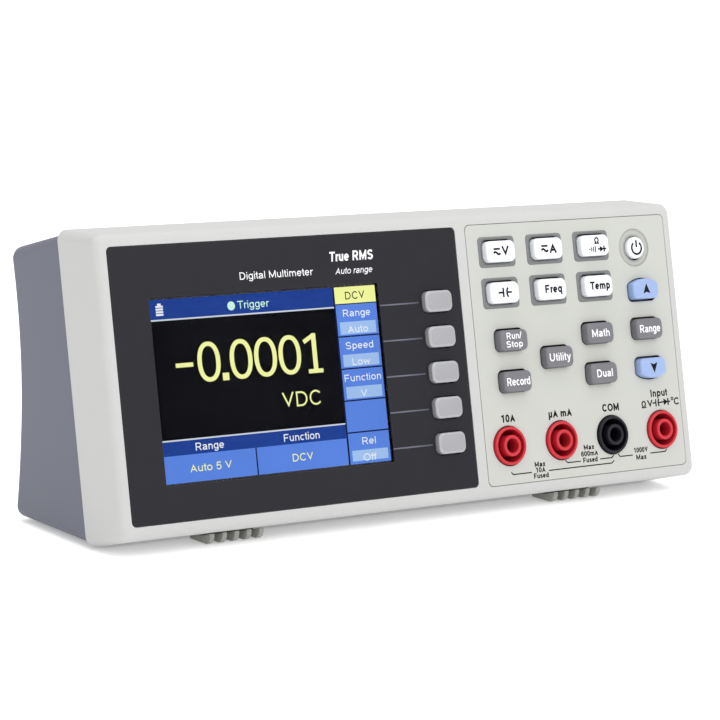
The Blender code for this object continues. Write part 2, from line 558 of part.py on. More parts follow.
turned("buzzer", [(0.0, 6.5), (1.2, 6.5), (6.0, 6.5), (6.0, 0.0), (0.0, 0.0)], "rubber", FACE_FRAME, (-70.0, 22.1, 12.0),
       steps=16, turn=(math.radians(-90), 0.0, 0.0))

# ---------------------------------------------------------------- fuses in their holders
for name, r, length, x, z in (("10a", 3.15, 32.0, 48.0, 46.0), ("600ma", 2.6, 20.0, 48.0, 24.0)):
    y = 22.1 + r + 1.4
    base = place(f"fuse_holder_{name}", boxes((x - length / 2 - 1.6, x + length / 2 + 1.6, 22.1, y + 0.6, z - r - 1.2, z + r + 1.2)),
                 "steel", FACE_FRAME)
    bm = bmesh.new()
    add_cylinder(bm, r + GAP, -length / 2 - GAP, length / 2 + GAP, x, y, z, axis="X")
    boolean(base, place(f"fuse_holder_{name}_bed", bm, "", FACE_FRAME, cutter=True))
    boolean(base, place(f"fuse_holder_{name}_middle", boxes((x - length / 2 + 6.0, x + length / 2 - 6.0, 23.4, y + 9.0, z - 12.0, z + 12.0)),
                        "", FACE_FRAME, cutter=True))
    bm = bmesh.new()
    add_cylinder(bm, r, -length / 2, length / 2, x, y, z, axis="X")
    place(f"fuse_{name}", bm, "glass", FACE_FRAME)

# ---------------------------------------------------------------- battery
BATTERY_X, BATTERY_Y, BATTERY_Z, CELL_R, CELL_L = -6.0, 36.0, -3.4, 9.2, 65.0
tray = place("battery_holder", boxes((BATTERY_X - CELL_L / 2 - 3.0, BATTERY_X + CELL_L / 2 + 3.0, BATTERY_Y - CELL_R - 1.5,
                                      BATTERY_Y + CELL_R + 1.5, -14.4, BATTERY_Z + 1.0)), "jack_black", CASE_FRAME)
bm = bmesh.new()
add_cylinder(bm, CELL_R + GAP, -CELL_L / 2 - 1.5, CELL_L / 2 + 1.5, BATTERY_X, BATTERY_Y, BATTERY_Z, axis="X", steps=20)
boolean(tray, place("battery_bed", bm, "", CASE_FRAME, cutter=True))
bm = bmesh.new()
add_cylinder(bm, CELL_R, -CELL_L / 2, CELL_L / 2, BATTERY_X, BATTERY_Y, BATTERY_Z, axis="X", steps=20)
place("battery_cell", bm, "cell", CASE_FRAME)

# ---------------------------------------------------------------- rear ports
dc = place("dc_jack", boxes((DC_X - 5.0, DC_X + 5.0, 41.0, 52.2, PORT_Z - 5.5, PORT_Z + 5.5)), "jack_black", CASE_FRAME)
bm = bmesh.new()
add_cylinder(bm, 4.0, 51.0, 55.2, DC_X, 0.0, PORT_Z)
boolean(dc, place("dc_jack_nose", bm, "", CASE_FRAME, cutter=True), "UNION")
bm = bmesh.new()
add_cylinder(bm, 2.9, 43.5, 57.0, DC_X, 0.0, PORT_Z)
boolean(dc, place("dc_jack_bore", bm, "", CASE_FRAME, cutter=True))
bm = bmesh.new()
add_cylinder(bm, 1.0, 42.5, 54.0, DC_X, 0.0, PORT_Z, steps=10)
boolean(dc, place("dc_jack_pin", bm, "", CASE_FRAME, cutter=True), "UNION")
usb = place("usb_port", boxes((USB_X - 6.0, USB_X + 6.0, 39.5, 55.2, PORT_Z - 5.45, PORT_Z + 5.45)), "steel", CASE_FRAME)
boolean(usb, place("usb_port_mouth", prisms((box_outline(USB_X - 4.25, USB_X + 4.25, PORT_Z - 3.9, PORT_Z + 3.9), 46.0, 58.0)),
                   "", CASE_FRAME, cutter=True))
boolean(usb, place("usb_port_tongue", boxes((USB_X - 2.8, USB_X + 2.8, 45.0, 54.2, PORT_Z - 1.6, PORT_Z + 1.6)),
                   "", CASE_FRAME, cutter=True), "UNION")

# ---------------------------------------------------------------- case screws
for i, (x, z) in enumerate(SCREWS):
    seat = rear_depth(z) - 7.0 - GAP
    turned(f"case_screw_{i + 1}", [(0.0, 0.0), (0.7, 0.9), (1.3, 2.3), (2.9, 1.9), (2.9, 0.3), (1.5, 0.3), (1.5, 9.5 - seat), (0.0, 8.0 - seat)],
           "steel", FACE_FRAME, (x, seat + 0.6, z), steps=12, turn=(math.radians(-90), 0.0, 0.0))

# ---------------------------------------------------------------- tilt feet, on hinge pins
def foot_profile():
    """Side view of a folded tilt foot about its hinge axis (y, z)."""
    ay, az = FOOT_AXIS
    barrel = 1.9

    def under_bezel(y):
        """Height just below the bezel's sloping underside."""
        y0, z0 = 2.3 * COS + FACE_LOW * SIN, FACE_LOW * COS - 2.3 * SIN
        y1, z1 = SEAM_Y * COS + SEAM_LOW * SIN, SEAM_LOW * COS - SEAM_Y * SIN
        return z0 + (z1 - z0) * (y - y0) / (y1 - y0) - 0.35
    points = [(3.7, under_bezel(3.7))]
    points += [(y, z) for y, z in arc(6.3, -16.3, 2.6, 180, 270, 4)]
    points += [(y, z) for y, z in arc(13.5, -18.2, 0.7, 270, 360, 2)]
    points += [(15.2, -18.1)]
    points += arc(ay, az, barrel, 255, 470, 9)
    points += [(15.4, -16.05), (8.9, -16.05 - 0.0), (8.9, under_bezel(8.9))]
    return [(y - ay, z - az) for y, z in points]


for side, name in ((-1, "left"), (1, "right")):
    bm = bmesh.new()
    verts = [bm.verts.new((-FOOT_W / 2 * MM, y * MM, z * MM)) for y, z in foot_profile()]
    face = bm.faces.new(verts)
    grown = bmesh.ops.extrude_face_region(bm, geom=[face])
    bmesh.ops.translate(bm, verts=[v for v in grown["geom"] if isinstance(v, bmesh.types.BMVert)], vec=(FOOT_W * MM, 0.0, 0.0))
    foot = place(f"tilt_foot_{name}", bm, "foot", CASE_FRAME, (side * FOOT_X, *FOOT_AXIS))
    pitch = (FOOT_W - FIN_T) / (FOOT_FINS - 1)
    bm = bmesh.new()
    for i in range(FOOT_FINS - 1):
        middle = (i - (FOOT_FINS - 2) / 2) * pitch
        half = (pitch - FIN_T) / 2
        add_box(bm, middle - half, middle + half, -16.0, 8.2 - FOOT_AXIS[0], -6.0, 3.0)
    boolean(foot, place(f"foot_{name}_slots", bm, "", CASE_FRAME, (side * FOOT_X, *FOOT_AXIS), cutter=True))
    bm = bmesh.new()
    add_cylinder(bm, 1.3, -FOOT_W, FOOT_W, 0.0, 0.0, 0.0, axis="X", steps=12)
    boolean(foot, place(f"foot_{name}_bore", bm, "", CASE_FRAME, (side * FOOT_X, *FOOT_AXIS), cutter=True))
    bm = bmesh.new()
    add_cylinder(bm, 1.0, -FOOT_W / 2 - 2.0, FOOT_W / 2 + 2.0, 0.0, 0.0, 0.0, axis="X", steps=12)
    place(f"foot_pin_{name}", bm, "steel", CASE_FRAME, (side * FOOT_X, *FOOT_AXIS))
    turned(f"rear_foot_{name}", [(0.0, 6.2), (1.6, 6.2), (2.1, 5.4), (2.1, 1.0), (6.0, 1.0), (6.0, 0.4), (5.6, 0.0), (0.0, 0.0)], "rubber",
           CASE_FRAME, (side * REAR_FOOT_X, REAR_FOOT_Y, -FRAME_Z), steps=20, turn=(0.0, 0.0, 0.0))
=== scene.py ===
"""Looks of the bench multimeter: fine shells, panel, display content, keys with their legends,
jacks, feet and prints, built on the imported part's own boxes and axes. Lengths are in mm here
and turn into metres where a piece is placed."""
import json
import math

import bmesh
import bpy
from mathutils import Matrix, Vector


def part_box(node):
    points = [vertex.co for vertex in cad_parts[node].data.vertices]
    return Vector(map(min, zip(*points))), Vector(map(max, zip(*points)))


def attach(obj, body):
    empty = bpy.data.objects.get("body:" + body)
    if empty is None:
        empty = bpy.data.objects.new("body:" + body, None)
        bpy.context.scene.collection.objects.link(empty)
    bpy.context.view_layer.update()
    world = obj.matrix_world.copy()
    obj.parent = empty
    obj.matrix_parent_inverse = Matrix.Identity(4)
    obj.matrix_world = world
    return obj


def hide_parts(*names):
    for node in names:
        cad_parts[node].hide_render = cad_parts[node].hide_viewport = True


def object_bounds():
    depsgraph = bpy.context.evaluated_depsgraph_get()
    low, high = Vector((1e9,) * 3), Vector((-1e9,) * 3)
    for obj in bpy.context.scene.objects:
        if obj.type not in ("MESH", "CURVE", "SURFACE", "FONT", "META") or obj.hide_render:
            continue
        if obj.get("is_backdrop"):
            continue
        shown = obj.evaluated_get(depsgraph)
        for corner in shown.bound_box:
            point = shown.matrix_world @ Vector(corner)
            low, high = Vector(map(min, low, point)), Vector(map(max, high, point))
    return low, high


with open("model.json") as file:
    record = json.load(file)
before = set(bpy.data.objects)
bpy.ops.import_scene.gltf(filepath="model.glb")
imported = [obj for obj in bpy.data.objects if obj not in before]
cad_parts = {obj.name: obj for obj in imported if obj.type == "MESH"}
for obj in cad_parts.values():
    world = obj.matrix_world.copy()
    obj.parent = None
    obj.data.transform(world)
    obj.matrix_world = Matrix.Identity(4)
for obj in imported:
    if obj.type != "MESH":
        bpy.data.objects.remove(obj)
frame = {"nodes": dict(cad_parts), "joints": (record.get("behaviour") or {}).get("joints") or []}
cad_low, cad_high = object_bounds()

MM = 0.001

# ---------------------------------------------------------------- the leaned face, from the part
press = next(j for j in frame["joints"] if j["name"] == "softkey_1_press")
AXIS = Vector(press["axis"]).normalized()
COS, SIN = AXIS.y, -AXIS.z
LEAN = math.atan2(SIN, COS)


def leaned(node):
    """(low, high) of a node in axes that lean with the face: x, depth, up the face. In mm."""
    points = [(v.co.x / MM, (v.co.y * COS - v.co.z * SIN) / MM, (v.co.y * SIN + v.co.z * COS) / MM)
              for v in frame["nodes"][node].data.vertices]
    return [min(p[i] for p in points) for i in range(3)], [max(p[i] for p in points) for i in range(3)]


overlay_low, overlay_high = leaned("display_overlay")
DEPTH0, UP0 = overlay_low[1], overlay_low[2] + 10.1
ORIGIN = Vector((0.0, DEPTH0 * COS + UP0 * SIN, -DEPTH0 * SIN + UP0 * COS))
FACE = Matrix(((1, 0, 0, 0), (0, COS, SIN, ORIGIN.y * MM), (0, -SIN, COS, ORIGIN.z * MM), (0, 0, 0, 1)))
LEVEL = Matrix.Translation((0.0, ORIGIN.y * MM, ORIGIN.z * MM))
TO_M = Matrix.Diagonal((MM, MM, MM, 1.0))


def face_box(node):
    """(low, high) of a node in the face frame: x, depth behind the face, height up it. In mm."""
    low, high = leaned(node)
    return ([low[0], low[1] - DEPTH0, low[2] - UP0], [high[0], high[1] - DEPTH0, high[2] - UP0])


def level_box(node):
    low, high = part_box(node)
    return ([low.x / MM, low.y / MM - ORIGIN.y, low.z / MM - ORIGIN.z],
            [high.x / MM, high.y / MM - ORIGIN.y, high.z / MM - ORIGIN.z])


def middle(node):
    low, high = face_box(node)
    return (low[0] + high[0]) / 2, (low[2] + high[2]) / 2


# ---------------------------------------------------------------- colours and materials
def lin(r, g, b):
    return tuple((c / 255 / 12.92) if c / 255 <= 0.04045 else ((c / 255 + 0.055) / 1.055) ** 2.4 for c in (r, g, b))


def times(colour, k):
    return tuple(min(1.0, c * k) for c in colour)


def blank(name):
    made = bpy.data.materials.new(name)
    made.use_nodes = True
    tree = made.node_tree
    return made, tree, tree.nodes["Principled BSDF"]


def add(tree, kind, **values):
    node = tree.nodes.new(kind)
    for key, value in values.items():
        if hasattr(node, key):
            setattr(node, key, value)
        else:
            node.inputs[key.replace("_", " ")].default_value = value
    return node


def spread(tree, source, low, high, from_low=0.3, from_high=0.7):
    node = add(tree, "ShaderNodeMapRange")
    for i, value in ((1, from_low), (2, from_high), (3, low), (4, high)):
        node.inputs[i].default_value = value
    tree.links.new(source, node.inputs[0])
    return node.outputs[0]


def surface(name, colour, rough=0.5, grain=0.35, depth=0.006, mottle=0.04, rough_vary=0.06, blotch=9.0, pits=0.5,
            metal=0.0, specular=0.5, coat=0.0, edge_wear_and_highlight=0.0, brushed=None, sheen=0.0):
    """A moulded or finished surface. Sizes are in mm: grain is the texture's feature, depth how deep it is."""
    made, tree, shader = blank(name)
    link = tree.links.new
    where = add(tree, "ShaderNodeTexCoord")
    scale = add(tree, "ShaderNodeMapping")
    scale.inputs["Scale"].default_value = brushed or (1.0, 1.0, 1.0)
    link(where.outputs["Object"], scale.inputs["Vector"])
    fine = add(tree, "ShaderNodeTexNoise", Scale=1000.0 / grain, Detail=3.0, Roughness=0.6)
    slow = add(tree, "ShaderNodeTexNoise", Scale=1000.0 / blotch, Detail=5.0, Roughness=0.55)
    cells = add(tree, "ShaderNodeTexVoronoi", Scale=1000.0 / (grain * 1.7))
    for node in (fine, cells):
        link(scale.outputs["Vector"], node.inputs["Vector"])
    link(where.outputs["Object"], slow.inputs["Vector"])
    tone = add(tree, "ShaderNodeMix", data_type="RGBA")
    tone.inputs[6].default_value = (*times(colour, 1 - mottle), 1.0)
    tone.inputs[7].default_value = (*times(colour, 1 + mottle), 1.0)
    both = add(tree, "ShaderNodeMath", operation="MULTIPLY_ADD")
    both.inputs[1].default_value = 0.55
    link(fine.outputs["Fac"], both.inputs[0])
    half = add(tree, "ShaderNodeMath", operation="MULTIPLY")
    half.inputs[1].default_value = 0.45
    link(slow.outputs["Fac"], half.inputs[0])
    link(half.outputs[0], both.inputs[2])
    link(spread(tree, both.outputs[0], 0.0, 1.0, 0.36, 0.64), tone.inputs[0])
    last = tone.outputs[2]
    # rounded edges are lightened: partly edge wear, partly painted highlight
    if edge_wear_and_highlight:
        edge = add(tree, "ShaderNodeBevel", samples=4)
        edge.inputs["Radius"].default_value = 0.5 * MM
        shape = add(tree, "ShaderNodeNewGeometry")
        dot = add(tree, "ShaderNodeVectorMath", operation="DOT_PRODUCT")
        link(edge.outputs["Normal"], dot.inputs[0])
        link(shape.outputs["Normal"], dot.inputs[1])
        mask = spread(tree, dot.outputs["Value"], edge_wear_and_highlight, 0.0, 0.80, 0.995)
        wear_and_highlight_mix = add(tree, "ShaderNodeMath", operation="MULTIPLY")
        link(mask, wear_and_highlight_mix.inputs[0])
        link(spread(tree, slow.outputs["Fac"], 0.2, 1.0, 0.35, 0.65), wear_and_highlight_mix.inputs[1])
        lighter = add(tree, "ShaderNodeMix", data_type="RGBA")
        lighter.inputs[7].default_value = (*times(tuple(c * 0.7 + 0.25 for c in colour), 1.0), 1.0)
        link(wear_and_highlight_mix.outputs[0], lighter.inputs[0])
        link(last, lighter.inputs[6])
        last = lighter.outputs[2]
    link(last, shader.inputs["Base Color"])
    link(spread(tree, both.outputs[0], rough - rough_vary, rough + rough_vary, 0.36, 0.64), shader.inputs["Roughness"])
    if depth:
        relief = add(tree, "ShaderNodeMix", data_type="FLOAT")
        relief.inputs[0].default_value = pits
        link(fine.outputs["Fac"], relief.inputs[2])
        link(cells.outputs["Distance"], relief.inputs[3])
        bump = add(tree, "ShaderNodeBump")
        bump.inputs["Strength"].default_value = 0.6
        bump.inputs["Distance"].default_value = depth * MM
        link(relief.outputs[0], bump.inputs["Height"])
        link(bump.outputs["Normal"], shader.inputs["Normal"])
    shader.inputs["Metallic"].default_value = metal
    shader.inputs["Specular IOR Level"].default_value = specular
    shader.inputs["Coat Weight"].default_value = coat
    return made


def lit(name, colour, strength=1.0):
    """A patch of the display: a backlit colour with the display's pixel grid and uneven backlight."""
    made, tree, shader = blank(name)
    link = tree.links.new
    where = add(tree, "ShaderNodeTexCoord")
    turn = add(tree, "ShaderNodeMapping")
    turn.inputs["Rotation"].default_value = (LEAN, 0.0, 0.0)
    link(where.outputs["Object"], turn.inputs["Vector"])
    column = add(tree, "ShaderNodeTexWave", bands_direction="X", Scale=1000.0 / 0.153 / 6.2832)
    row = add(tree, "ShaderNodeTexWave", bands_direction="Z", Scale=1000.0 / 0.153 / 6.2832)
    slow = add(tree, "ShaderNodeTexNoise", Scale=1000.0 / 30.0, Detail=2.0)
    for node in (column, row):
        link(turn.outputs["Vector"], node.inputs["Vector"])
    link(where.outputs["Object"], slow.inputs["Vector"])
    grid = add(tree, "ShaderNodeMath", operation="MULTIPLY")
    link(spread(tree, column.outputs["Fac"], 0.9, 1.0, 0.0, 1.0), grid.inputs[0])
    link(spread(tree, row.outputs["Fac"], 0.9, 1.0, 0.0, 1.0), grid.inputs[1])
    even = add(tree, "ShaderNodeMath", operation="MULTIPLY")
    link(grid.outputs[0], even.inputs[0])
    link(spread(tree, slow.outputs["Fac"], 0.97 * strength, 1.06 * strength), even.inputs[1])
    link(even.outputs[0], shader.inputs["Emission Strength"])
    tone = add(tree, "ShaderNodeMix", data_type="RGBA")
    tone.inputs[6].default_value = (*times(colour, 0.985), 1.0)
    tone.inputs[7].default_value = (*times(colour, 1.015), 1.0)
    link(slow.outputs["Fac"], tone.inputs[0])
    link(tone.outputs[2], shader.inputs["Emission Color"])
    shader.inputs["Base Color"].default_value = (0.002, 0.002, 0.003, 1.0)
    shader.inputs["Roughness"].default_value = 0.5
    shader.inputs["Specular IOR Level"].default_value = 0.02
    return made


# where given, the edge value lightens rounded edges: partly wear, partly painted highlight
M = {
    "bezel": surface("bezel_abs", lin(171, 171, 170), 0.56, 0.30, 0.010, 0.022, 0.05, edge_wear_and_highlight=0.08),
    "slate": surface("cover_abs", lin(90, 92, 104), 0.62, 0.42, 0.016, 0.05, 0.05, specular=0.4, edge_wear_and_highlight=0.12),
    "black": surface("panel_film", lin(28, 28, 33), 0.48, 0.22, 0.004, 0.06, 0.05, specular=0.16, edge_wear_and_highlight=0.08),
    "film": surface("keypad_film_print", lin(171, 172, 167), 0.50, 0.24, 0.004, 0.015, 0.04, specular=0.35),
    "white": surface("key_white", lin(214, 216, 222), 0.40, 0.30, 0.003, 0.012, 0.04),
    # lighter colour for the soft keys' facets: painted highlight
    "softkey_painted_highlight": surface("key_soft_painted_highlight", lin(156, 156, 159), 0.44, 0.30, 0.003, 0.03, 0.05),
    # near-black material put in gaps and the seam to stand in for their shade: painted shade
    "gap_shade": surface("painted_shade_black", lin(12, 12, 14), 0.70, 0.30, 0.004, 0.12, 0.06, specular=0.2),
    "softkey": surface("key_soft", lin(139, 139, 142), 0.44, 0.30, 0.004, 0.03, 0.05),
    "grey": surface("key_grey", lin(96, 96, 101), 0.46, 0.30, 0.004, 0.04, 0.05),
    "blue": surface("key_blue", lin(132, 152, 192), 0.42, 0.30, 0.003, 0.025, 0.04),
    "red": surface("jack_red", lin(176, 30, 42), 0.42, 0.40, 0.003, 0.05, 0.06, specular=0.35),
    "jack_black": surface("jack_black", lin(18, 19, 26), 0.46, 0.40, 0.003, 0.10, 0.06, specular=0.22),
    "foot": surface("foot_plastic", lin(150, 150, 146), 0.58, 0.35, 0.008, 0.03, 0.05, specular=0.35, edge_wear_and_highlight=0.08),
    "rubber": surface("rubber", lin(34, 34, 36), 0.78, 0.25, 0.014, 0.12, 0.06),
    "steel": surface("steel", lin(178, 180, 184), 0.32, 0.25, 0.004, 0.05, 0.10, metal=1.0, brushed=(1.0, 1.0, 0.12)),
    "brass": surface("brass", lin(206, 168, 96), 0.28, 0.30, 0.003, 0.06, 0.10, metal=1.0),
    "gold": surface("contact_gold", lin(222, 186, 104), 0.26, 0.30, 0.003, 0.06, 0.08, metal=1.0),
    "board": surface("board_green", lin(22, 84, 46), 0.42, 0.8, 0.008, 0.16, 0.10, blotch=3.0),
    "silicone": surface("silicone", lin(150, 150, 154), 0.62, 0.4, 0.006, 0.05, 0.06),
    "glass": surface("fuse_glass", lin(206, 212, 210), 0.16, 0.6, 0.001, 0.05, 0.05, coat=0.6),
    "cell": surface("cell_sleeve", lin(30, 92, 168), 0.34, 1.2, 0.003, 0.05, 0.06, blotch=16.0),
    "screen_back": surface("screen_glass", lin(10, 10, 14), 0.26, 0.5, 0.001, 0.12, 0.06),
    "ink_black": surface("ink_black", lin(6, 6, 9), 0.60, 0.12, 0.001, 0.22, 0.08, specular=0.12),
    "ink_white": surface("ink_white", lin(222, 222, 224), 0.50, 0.12, 0.001, 0.03, 0.06),
    "ink_grey": surface("ink_grey", lin(108, 110, 110), 0.52, 0.16, 0.001, 0.04, 0.06, specular=0.3),
    "ink_line": surface("ink_line", lin(82, 84, 98), 0.48, 0.12, 0.001, 0.06, 0.06),
    # a little darker than the film, for the floor of the power key's dish
    "ink_dish": surface("ink_dish", lin(158, 159, 154), 0.52, 0.20, 0.001, 0.03, 0.05, specular=0.35),
}

lens, tree, shader = blank("window_clear")
noise = add(tree, "ShaderNodeTexNoise", Scale=1000.0 / 18.0, Detail=3.0)
where = add(tree, "ShaderNodeTexCoord")
tree.links.new(where.outputs["Object"], noise.inputs["Vector"])
tree.links.new(spread(tree, noise.outputs["Fac"], 0.02, 0.06), shader.inputs["Roughness"])
shader.inputs["Base Color"].default_value = (1.0, 1.0, 1.0, 1.0)
shader.inputs["Transmission Weight"].default_value = 1.0
shader.inputs["IOR"].default_value = 1.06
M["clear"] = lens

SCREEN = {
    "black": lit("screen_black", lin(4, 4, 7)),
    "navy": lit("screen_navy", lin(30, 64, 148)),
    "blue": lit("screen_blue", lin(92, 136, 230)),
    "pale": lit("screen_pale", lin(164, 198, 244)),
    "cream": lit("screen_cream", lin(248, 254, 160)),
    "yellow": lit("screen_yellow", lin(249, 254, 168)),
    "white": lit("screen_white", lin(238, 244, 250)),
    "mint": lit("screen_mint", lin(206, 250, 226)),
    "dark": lit("screen_dark", lin(58, 58, 40)),
    "line": lit("screen_line", lin(214, 222, 232)),
    "shade": lit("screen_shade", lin(16, 26, 60)),
}


# ---------------------------------------------------------------- outlines (mm)
def arc(cx, cz, r, start, stop, steps):
    return [(cx + r * math.cos(math.radians(start + (stop - start) * i / steps)),
             cz + r * math.sin(math.radians(start + (stop - start) * i / steps))) for i in range(steps + 1)]


def rounded(w, h, r, steps=8, cx=0.0, cz=0.0):
    x, z = w / 2 - r, h / 2 - r
    points = []
    for sx, sz, start in ((1, 1, 0), (-1, 1, 90), (-1, -1, 180), (1, -1, 270)):
        points += arc(cx + sx * x, cz + sz * z, r, start, start + 90, steps)
    return points


def rect(x0, x1, z0, z1, r=0.0, steps=6):
    if r:
        return rounded(x1 - x0, z1 - z0, r, steps, (x0 + x1) / 2, (z0 + z1) / 2)
    return [(x0, z0), (x1, z0), (x1, z1), (x0, z1)]


def circle(r, steps=48, cx=0.0, cz=0.0):
    return arc(cx, cz, r, 0, 360 - 360 / steps, steps - 1)


def fillet(points, radii, steps=6):
    """A polygon with each corner rounded to its radius."""
    made = []
    for i, (p, r) in enumerate(zip(points, radii)):
        if not r:
            made.append(p)
            continue
        p = Vector(p)
        a = (Vector(points[i - 1]) - p).normalized()
        b = (Vector(points[(i + 1) % len(points)]) - p).normalized()
        half = math.acos(max(-1.0, min(1.0, a.dot(b)))) / 2
        reach = r / math.tan(half)
        centre = p + (a + b).normalized() * (r / math.sin(half))
        start, stop = p + a * reach - centre, p + b * reach - centre
        sweep = math.atan2(start.x * stop.y - start.y * stop.x, start.dot(stop))
        for k in range(steps + 1):
            t = sweep * k / steps
            c, s = math.cos(t), math.sin(t)
            made.append((centre.x + start.x * c - start.y * s, centre.y + start.x * s + start.y * c))
    return made


def arched(w, h, rise, up=True, steps=16):
    """A key outline with one flat edge and one arched edge."""
    half, low, high = w / 2, -h / 2, h / 2
    bow = (rise * rise + half * half) / (2 * rise)
    span = math.degrees(math.asin((half - 0.35) / bow))
    top = arc(0.0, high - bow, bow, 90 - span, 90 + span, steps)
    side = high - rise - 0.15
    points = [(-half, low), (half, low), (half, side), *top, (-half, side)]
    made = fillet(points, [1.5, 1.5, 0.5] + [0.0] * len(top) + [0.5], 5)
    flip = 1 if up else -1
    return [(x, flip * z) for x, z in made]


def shrink(outline, d):
    """An outline drawn in by d on each side of its box."""
    xs, zs = [p[0] for p in outline], [p[1] for p in outline]
    cx, cz = (min(xs) + max(xs)) / 2, (min(zs) + max(zs)) / 2
    w, h = max(xs) - min(xs), max(zs) - min(zs)
    return [(cx + (x - cx) * (w - 2 * d) / w, cz + (z - cz) * (h - 2 * d) / h) for x, z in outline]


# ---------------------------------------------------------------- solids (mm)
def add_prism(bm, outline, y0, y1):
    verts = [bm.verts.new((x, y0, z)) for x, z in outline]
    face = bm.faces.new(verts)
    grown = bmesh.ops.extrude_face_region(bm, geom=[face])
    moved = [v for v in grown["geom"] if isinstance(v, bmesh.types.BMVert)]
    bmesh.ops.translate(bm, verts=moved, vec=(0.0, y1 - y0, 0.0))
    return bm


def prisms(*parts):
    bm = bmesh.new()
    for outline, y0, y1 in parts:
        add_prism(bm, outline, y0, y1)
    return bm


def add_box(bm, x0, x1, y0, y1, z0, z1):
    size = Vector((x1 - x0, y1 - y0, z1 - z0))
    centre = Vector((x0 + x1, y0 + y1, z0 + z1)) / 2
    bmesh.ops.create_cube(bm, size=1.0, matrix=Matrix.Translation(centre) @ Matrix.Diagonal((*size, 1.0)))
    return bm


def add_cylinder(bm, r, low, high, x, y, z, axis="Y", steps=32):
    turn = {"X": Matrix.Rotation(math.radians(90), 4, "Y"), "Y": Matrix.Rotation(math.radians(90), 4, "X"),
            "Z": Matrix.Identity(4)}[axis]
    mid = (low + high) / 2
    centre = {"X": (x + mid, y, z), "Y": (x, y + mid, z), "Z": (x, y, z + mid)}[axis]
    bmesh.ops.create_cone(bm, cap_ends=True, segments=steps, radius1=r, radius2=r, depth=high - low,
                          matrix=Matrix.Translation(Vector(centre)) @ turn)
    return bm


def skin(bm, loops, cap_first=True, cap_last=True):
    """Joins equal outlines at their depths into one surface. A depth is a number or a function of x and z."""
    before = None
    for outline, y in loops:
        ring = [bm.verts.new((x, y(x, z) if callable(y) else y, z)) for x, z in outline]
        if before is None:
            if cap_first:
                bm.faces.new(ring)
        else:
            n = len(ring)
            for i in range(n):
                bm.faces.new((before[i], before[(i + 1) % n], ring[(i + 1) % n], ring[i]))
        before = ring
    if cap_last:
        bm.faces.new(before)
    return bm


def lathe(profile, cx, cz, steps=64, bm=None):
    """A closed profile of (radius, height out of the face) turned about the face's normal."""
    bm = bm or bmesh.new()
    rings = []
    for r, h in profile:
        if r < 1e-6:
            rings.append([bm.verts.new((cx, -h, cz))])
        else:
            rings.append([bm.verts.new((x, -h, z)) for x, z in circle(r, steps, cx, cz)])
    for a, b in zip(rings, rings[1:] + ([rings[0]] if len(rings[0]) > 1 else [])):
        for i in range(steps):
            j = (i + 1) % steps
            quad = [a[i % len(a)], a[j % len(a)], b[j % len(b)], b[i % len(b)]]
            unique = list(dict.fromkeys(quad))
            if len(unique) > 2:
                bm.faces.new(unique)
    return bm


def round_edges(bm, chosen, r, steps):
    bmesh.ops.bevel(bm, geom=[e for e in bm.edges if chosen(e)], offset=r, offset_type="OFFSET", segments=steps,
                    profile=0.5, affect="EDGES", clamp_overlap=True)


def tapered_block(front, back):
    bm = bmesh.new()
    bmesh.ops.create_cube(bm, size=2.0)
    for v in bm.verts:
        x0, x1, z0, z1, y = front if v.co.y < 0 else back
        v.co = Vector((x1 if v.co.x > 0 else x0, y, z1 if v.co.z > 0 else z0))
    return bm


def temporary(bm):
    bmesh.ops.recalc_face_normals(bm, faces=bm.faces)
    mesh = bpy.data.meshes.new("temporary")
    bm.to_mesh(mesh)
    bm.free()
    obj = bpy.data.objects.new("temporary", mesh)
    bpy.context.scene.collection.objects.link(obj)
    return obj


def carve(bm, *steps):
    """Applies booleans in turn: pairs of an operation and another solid. Everything is in one frame."""
    base = temporary(bm)
    others = []
    for operation, other in steps:
        tool = temporary(other)
        others.append(tool)
        modifier = base.modifiers.new("cut", "BOOLEAN")
        modifier.operation = operation
        modifier.solver = "EXACT"
        modifier.object = tool
        tool.hide_render = True
    graph = bpy.context.evaluated_depsgraph_get()
    mesh = bpy.data.meshes.new_from_object(base.evaluated_get(graph), depsgraph=graph)
    made = bmesh.new()
    made.from_mesh(mesh)
    bpy.data.meshes.remove(mesh)
    for obj in [base, *others]:
        data = obj.data
        bpy.data.objects.remove(obj, do_unlink=True)
        bpy.data.meshes.remove(data)
    return made


def piece(name, bm, finish, body="case", where=None, replaces=(), bevel=0.0, bevel_steps=2, thick=0.0,
          sharp=32.0, bevel_angle=34.0):
    """Makes bm a piece of the object, riding on a body."""
    bmesh.ops.remove_doubles(bm, verts=bm.verts, dist=0.0005)
    if not thick:
        bmesh.ops.recalc_face_normals(bm, faces=bm.faces)
    bm.transform((FACE if where is None else where) @ TO_M)
    for v in bm.verts:
        v.co = Vector(min(max(c, low), high) for c, low, high in zip(v.co, cad_low, cad_high))
    mesh = bpy.data.meshes.new(name)
    bm.to_mesh(mesh)
    bm.free()
    mesh.materials.append(finish)
    mesh.shade_smooth()
    if not bevel:
        mesh.set_sharp_from_angle(angle=math.radians(sharp))
    obj = bpy.data.objects.new(name, mesh)
    bpy.context.scene.collection.objects.link(obj)
    if thick:
        solid = obj.modifiers.new("thickness", "SOLIDIFY")
        solid.thickness = thick * MM
        solid.offset = 0.0
    if bevel:
        edge = obj.modifiers.new("edges", "BEVEL")
        edge.width = bevel * MM
        edge.segments = bevel_steps
        edge.limit_method = "ANGLE"
        edge.angle_limit = math.radians(bevel_angle)
        edge.harden_normals = True
        edge.use_clamp_overlap = True
        edge.miter_outer = "MITER_ARC"
    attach(obj, body)
    if replaces:
        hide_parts(*replaces)
    return obj


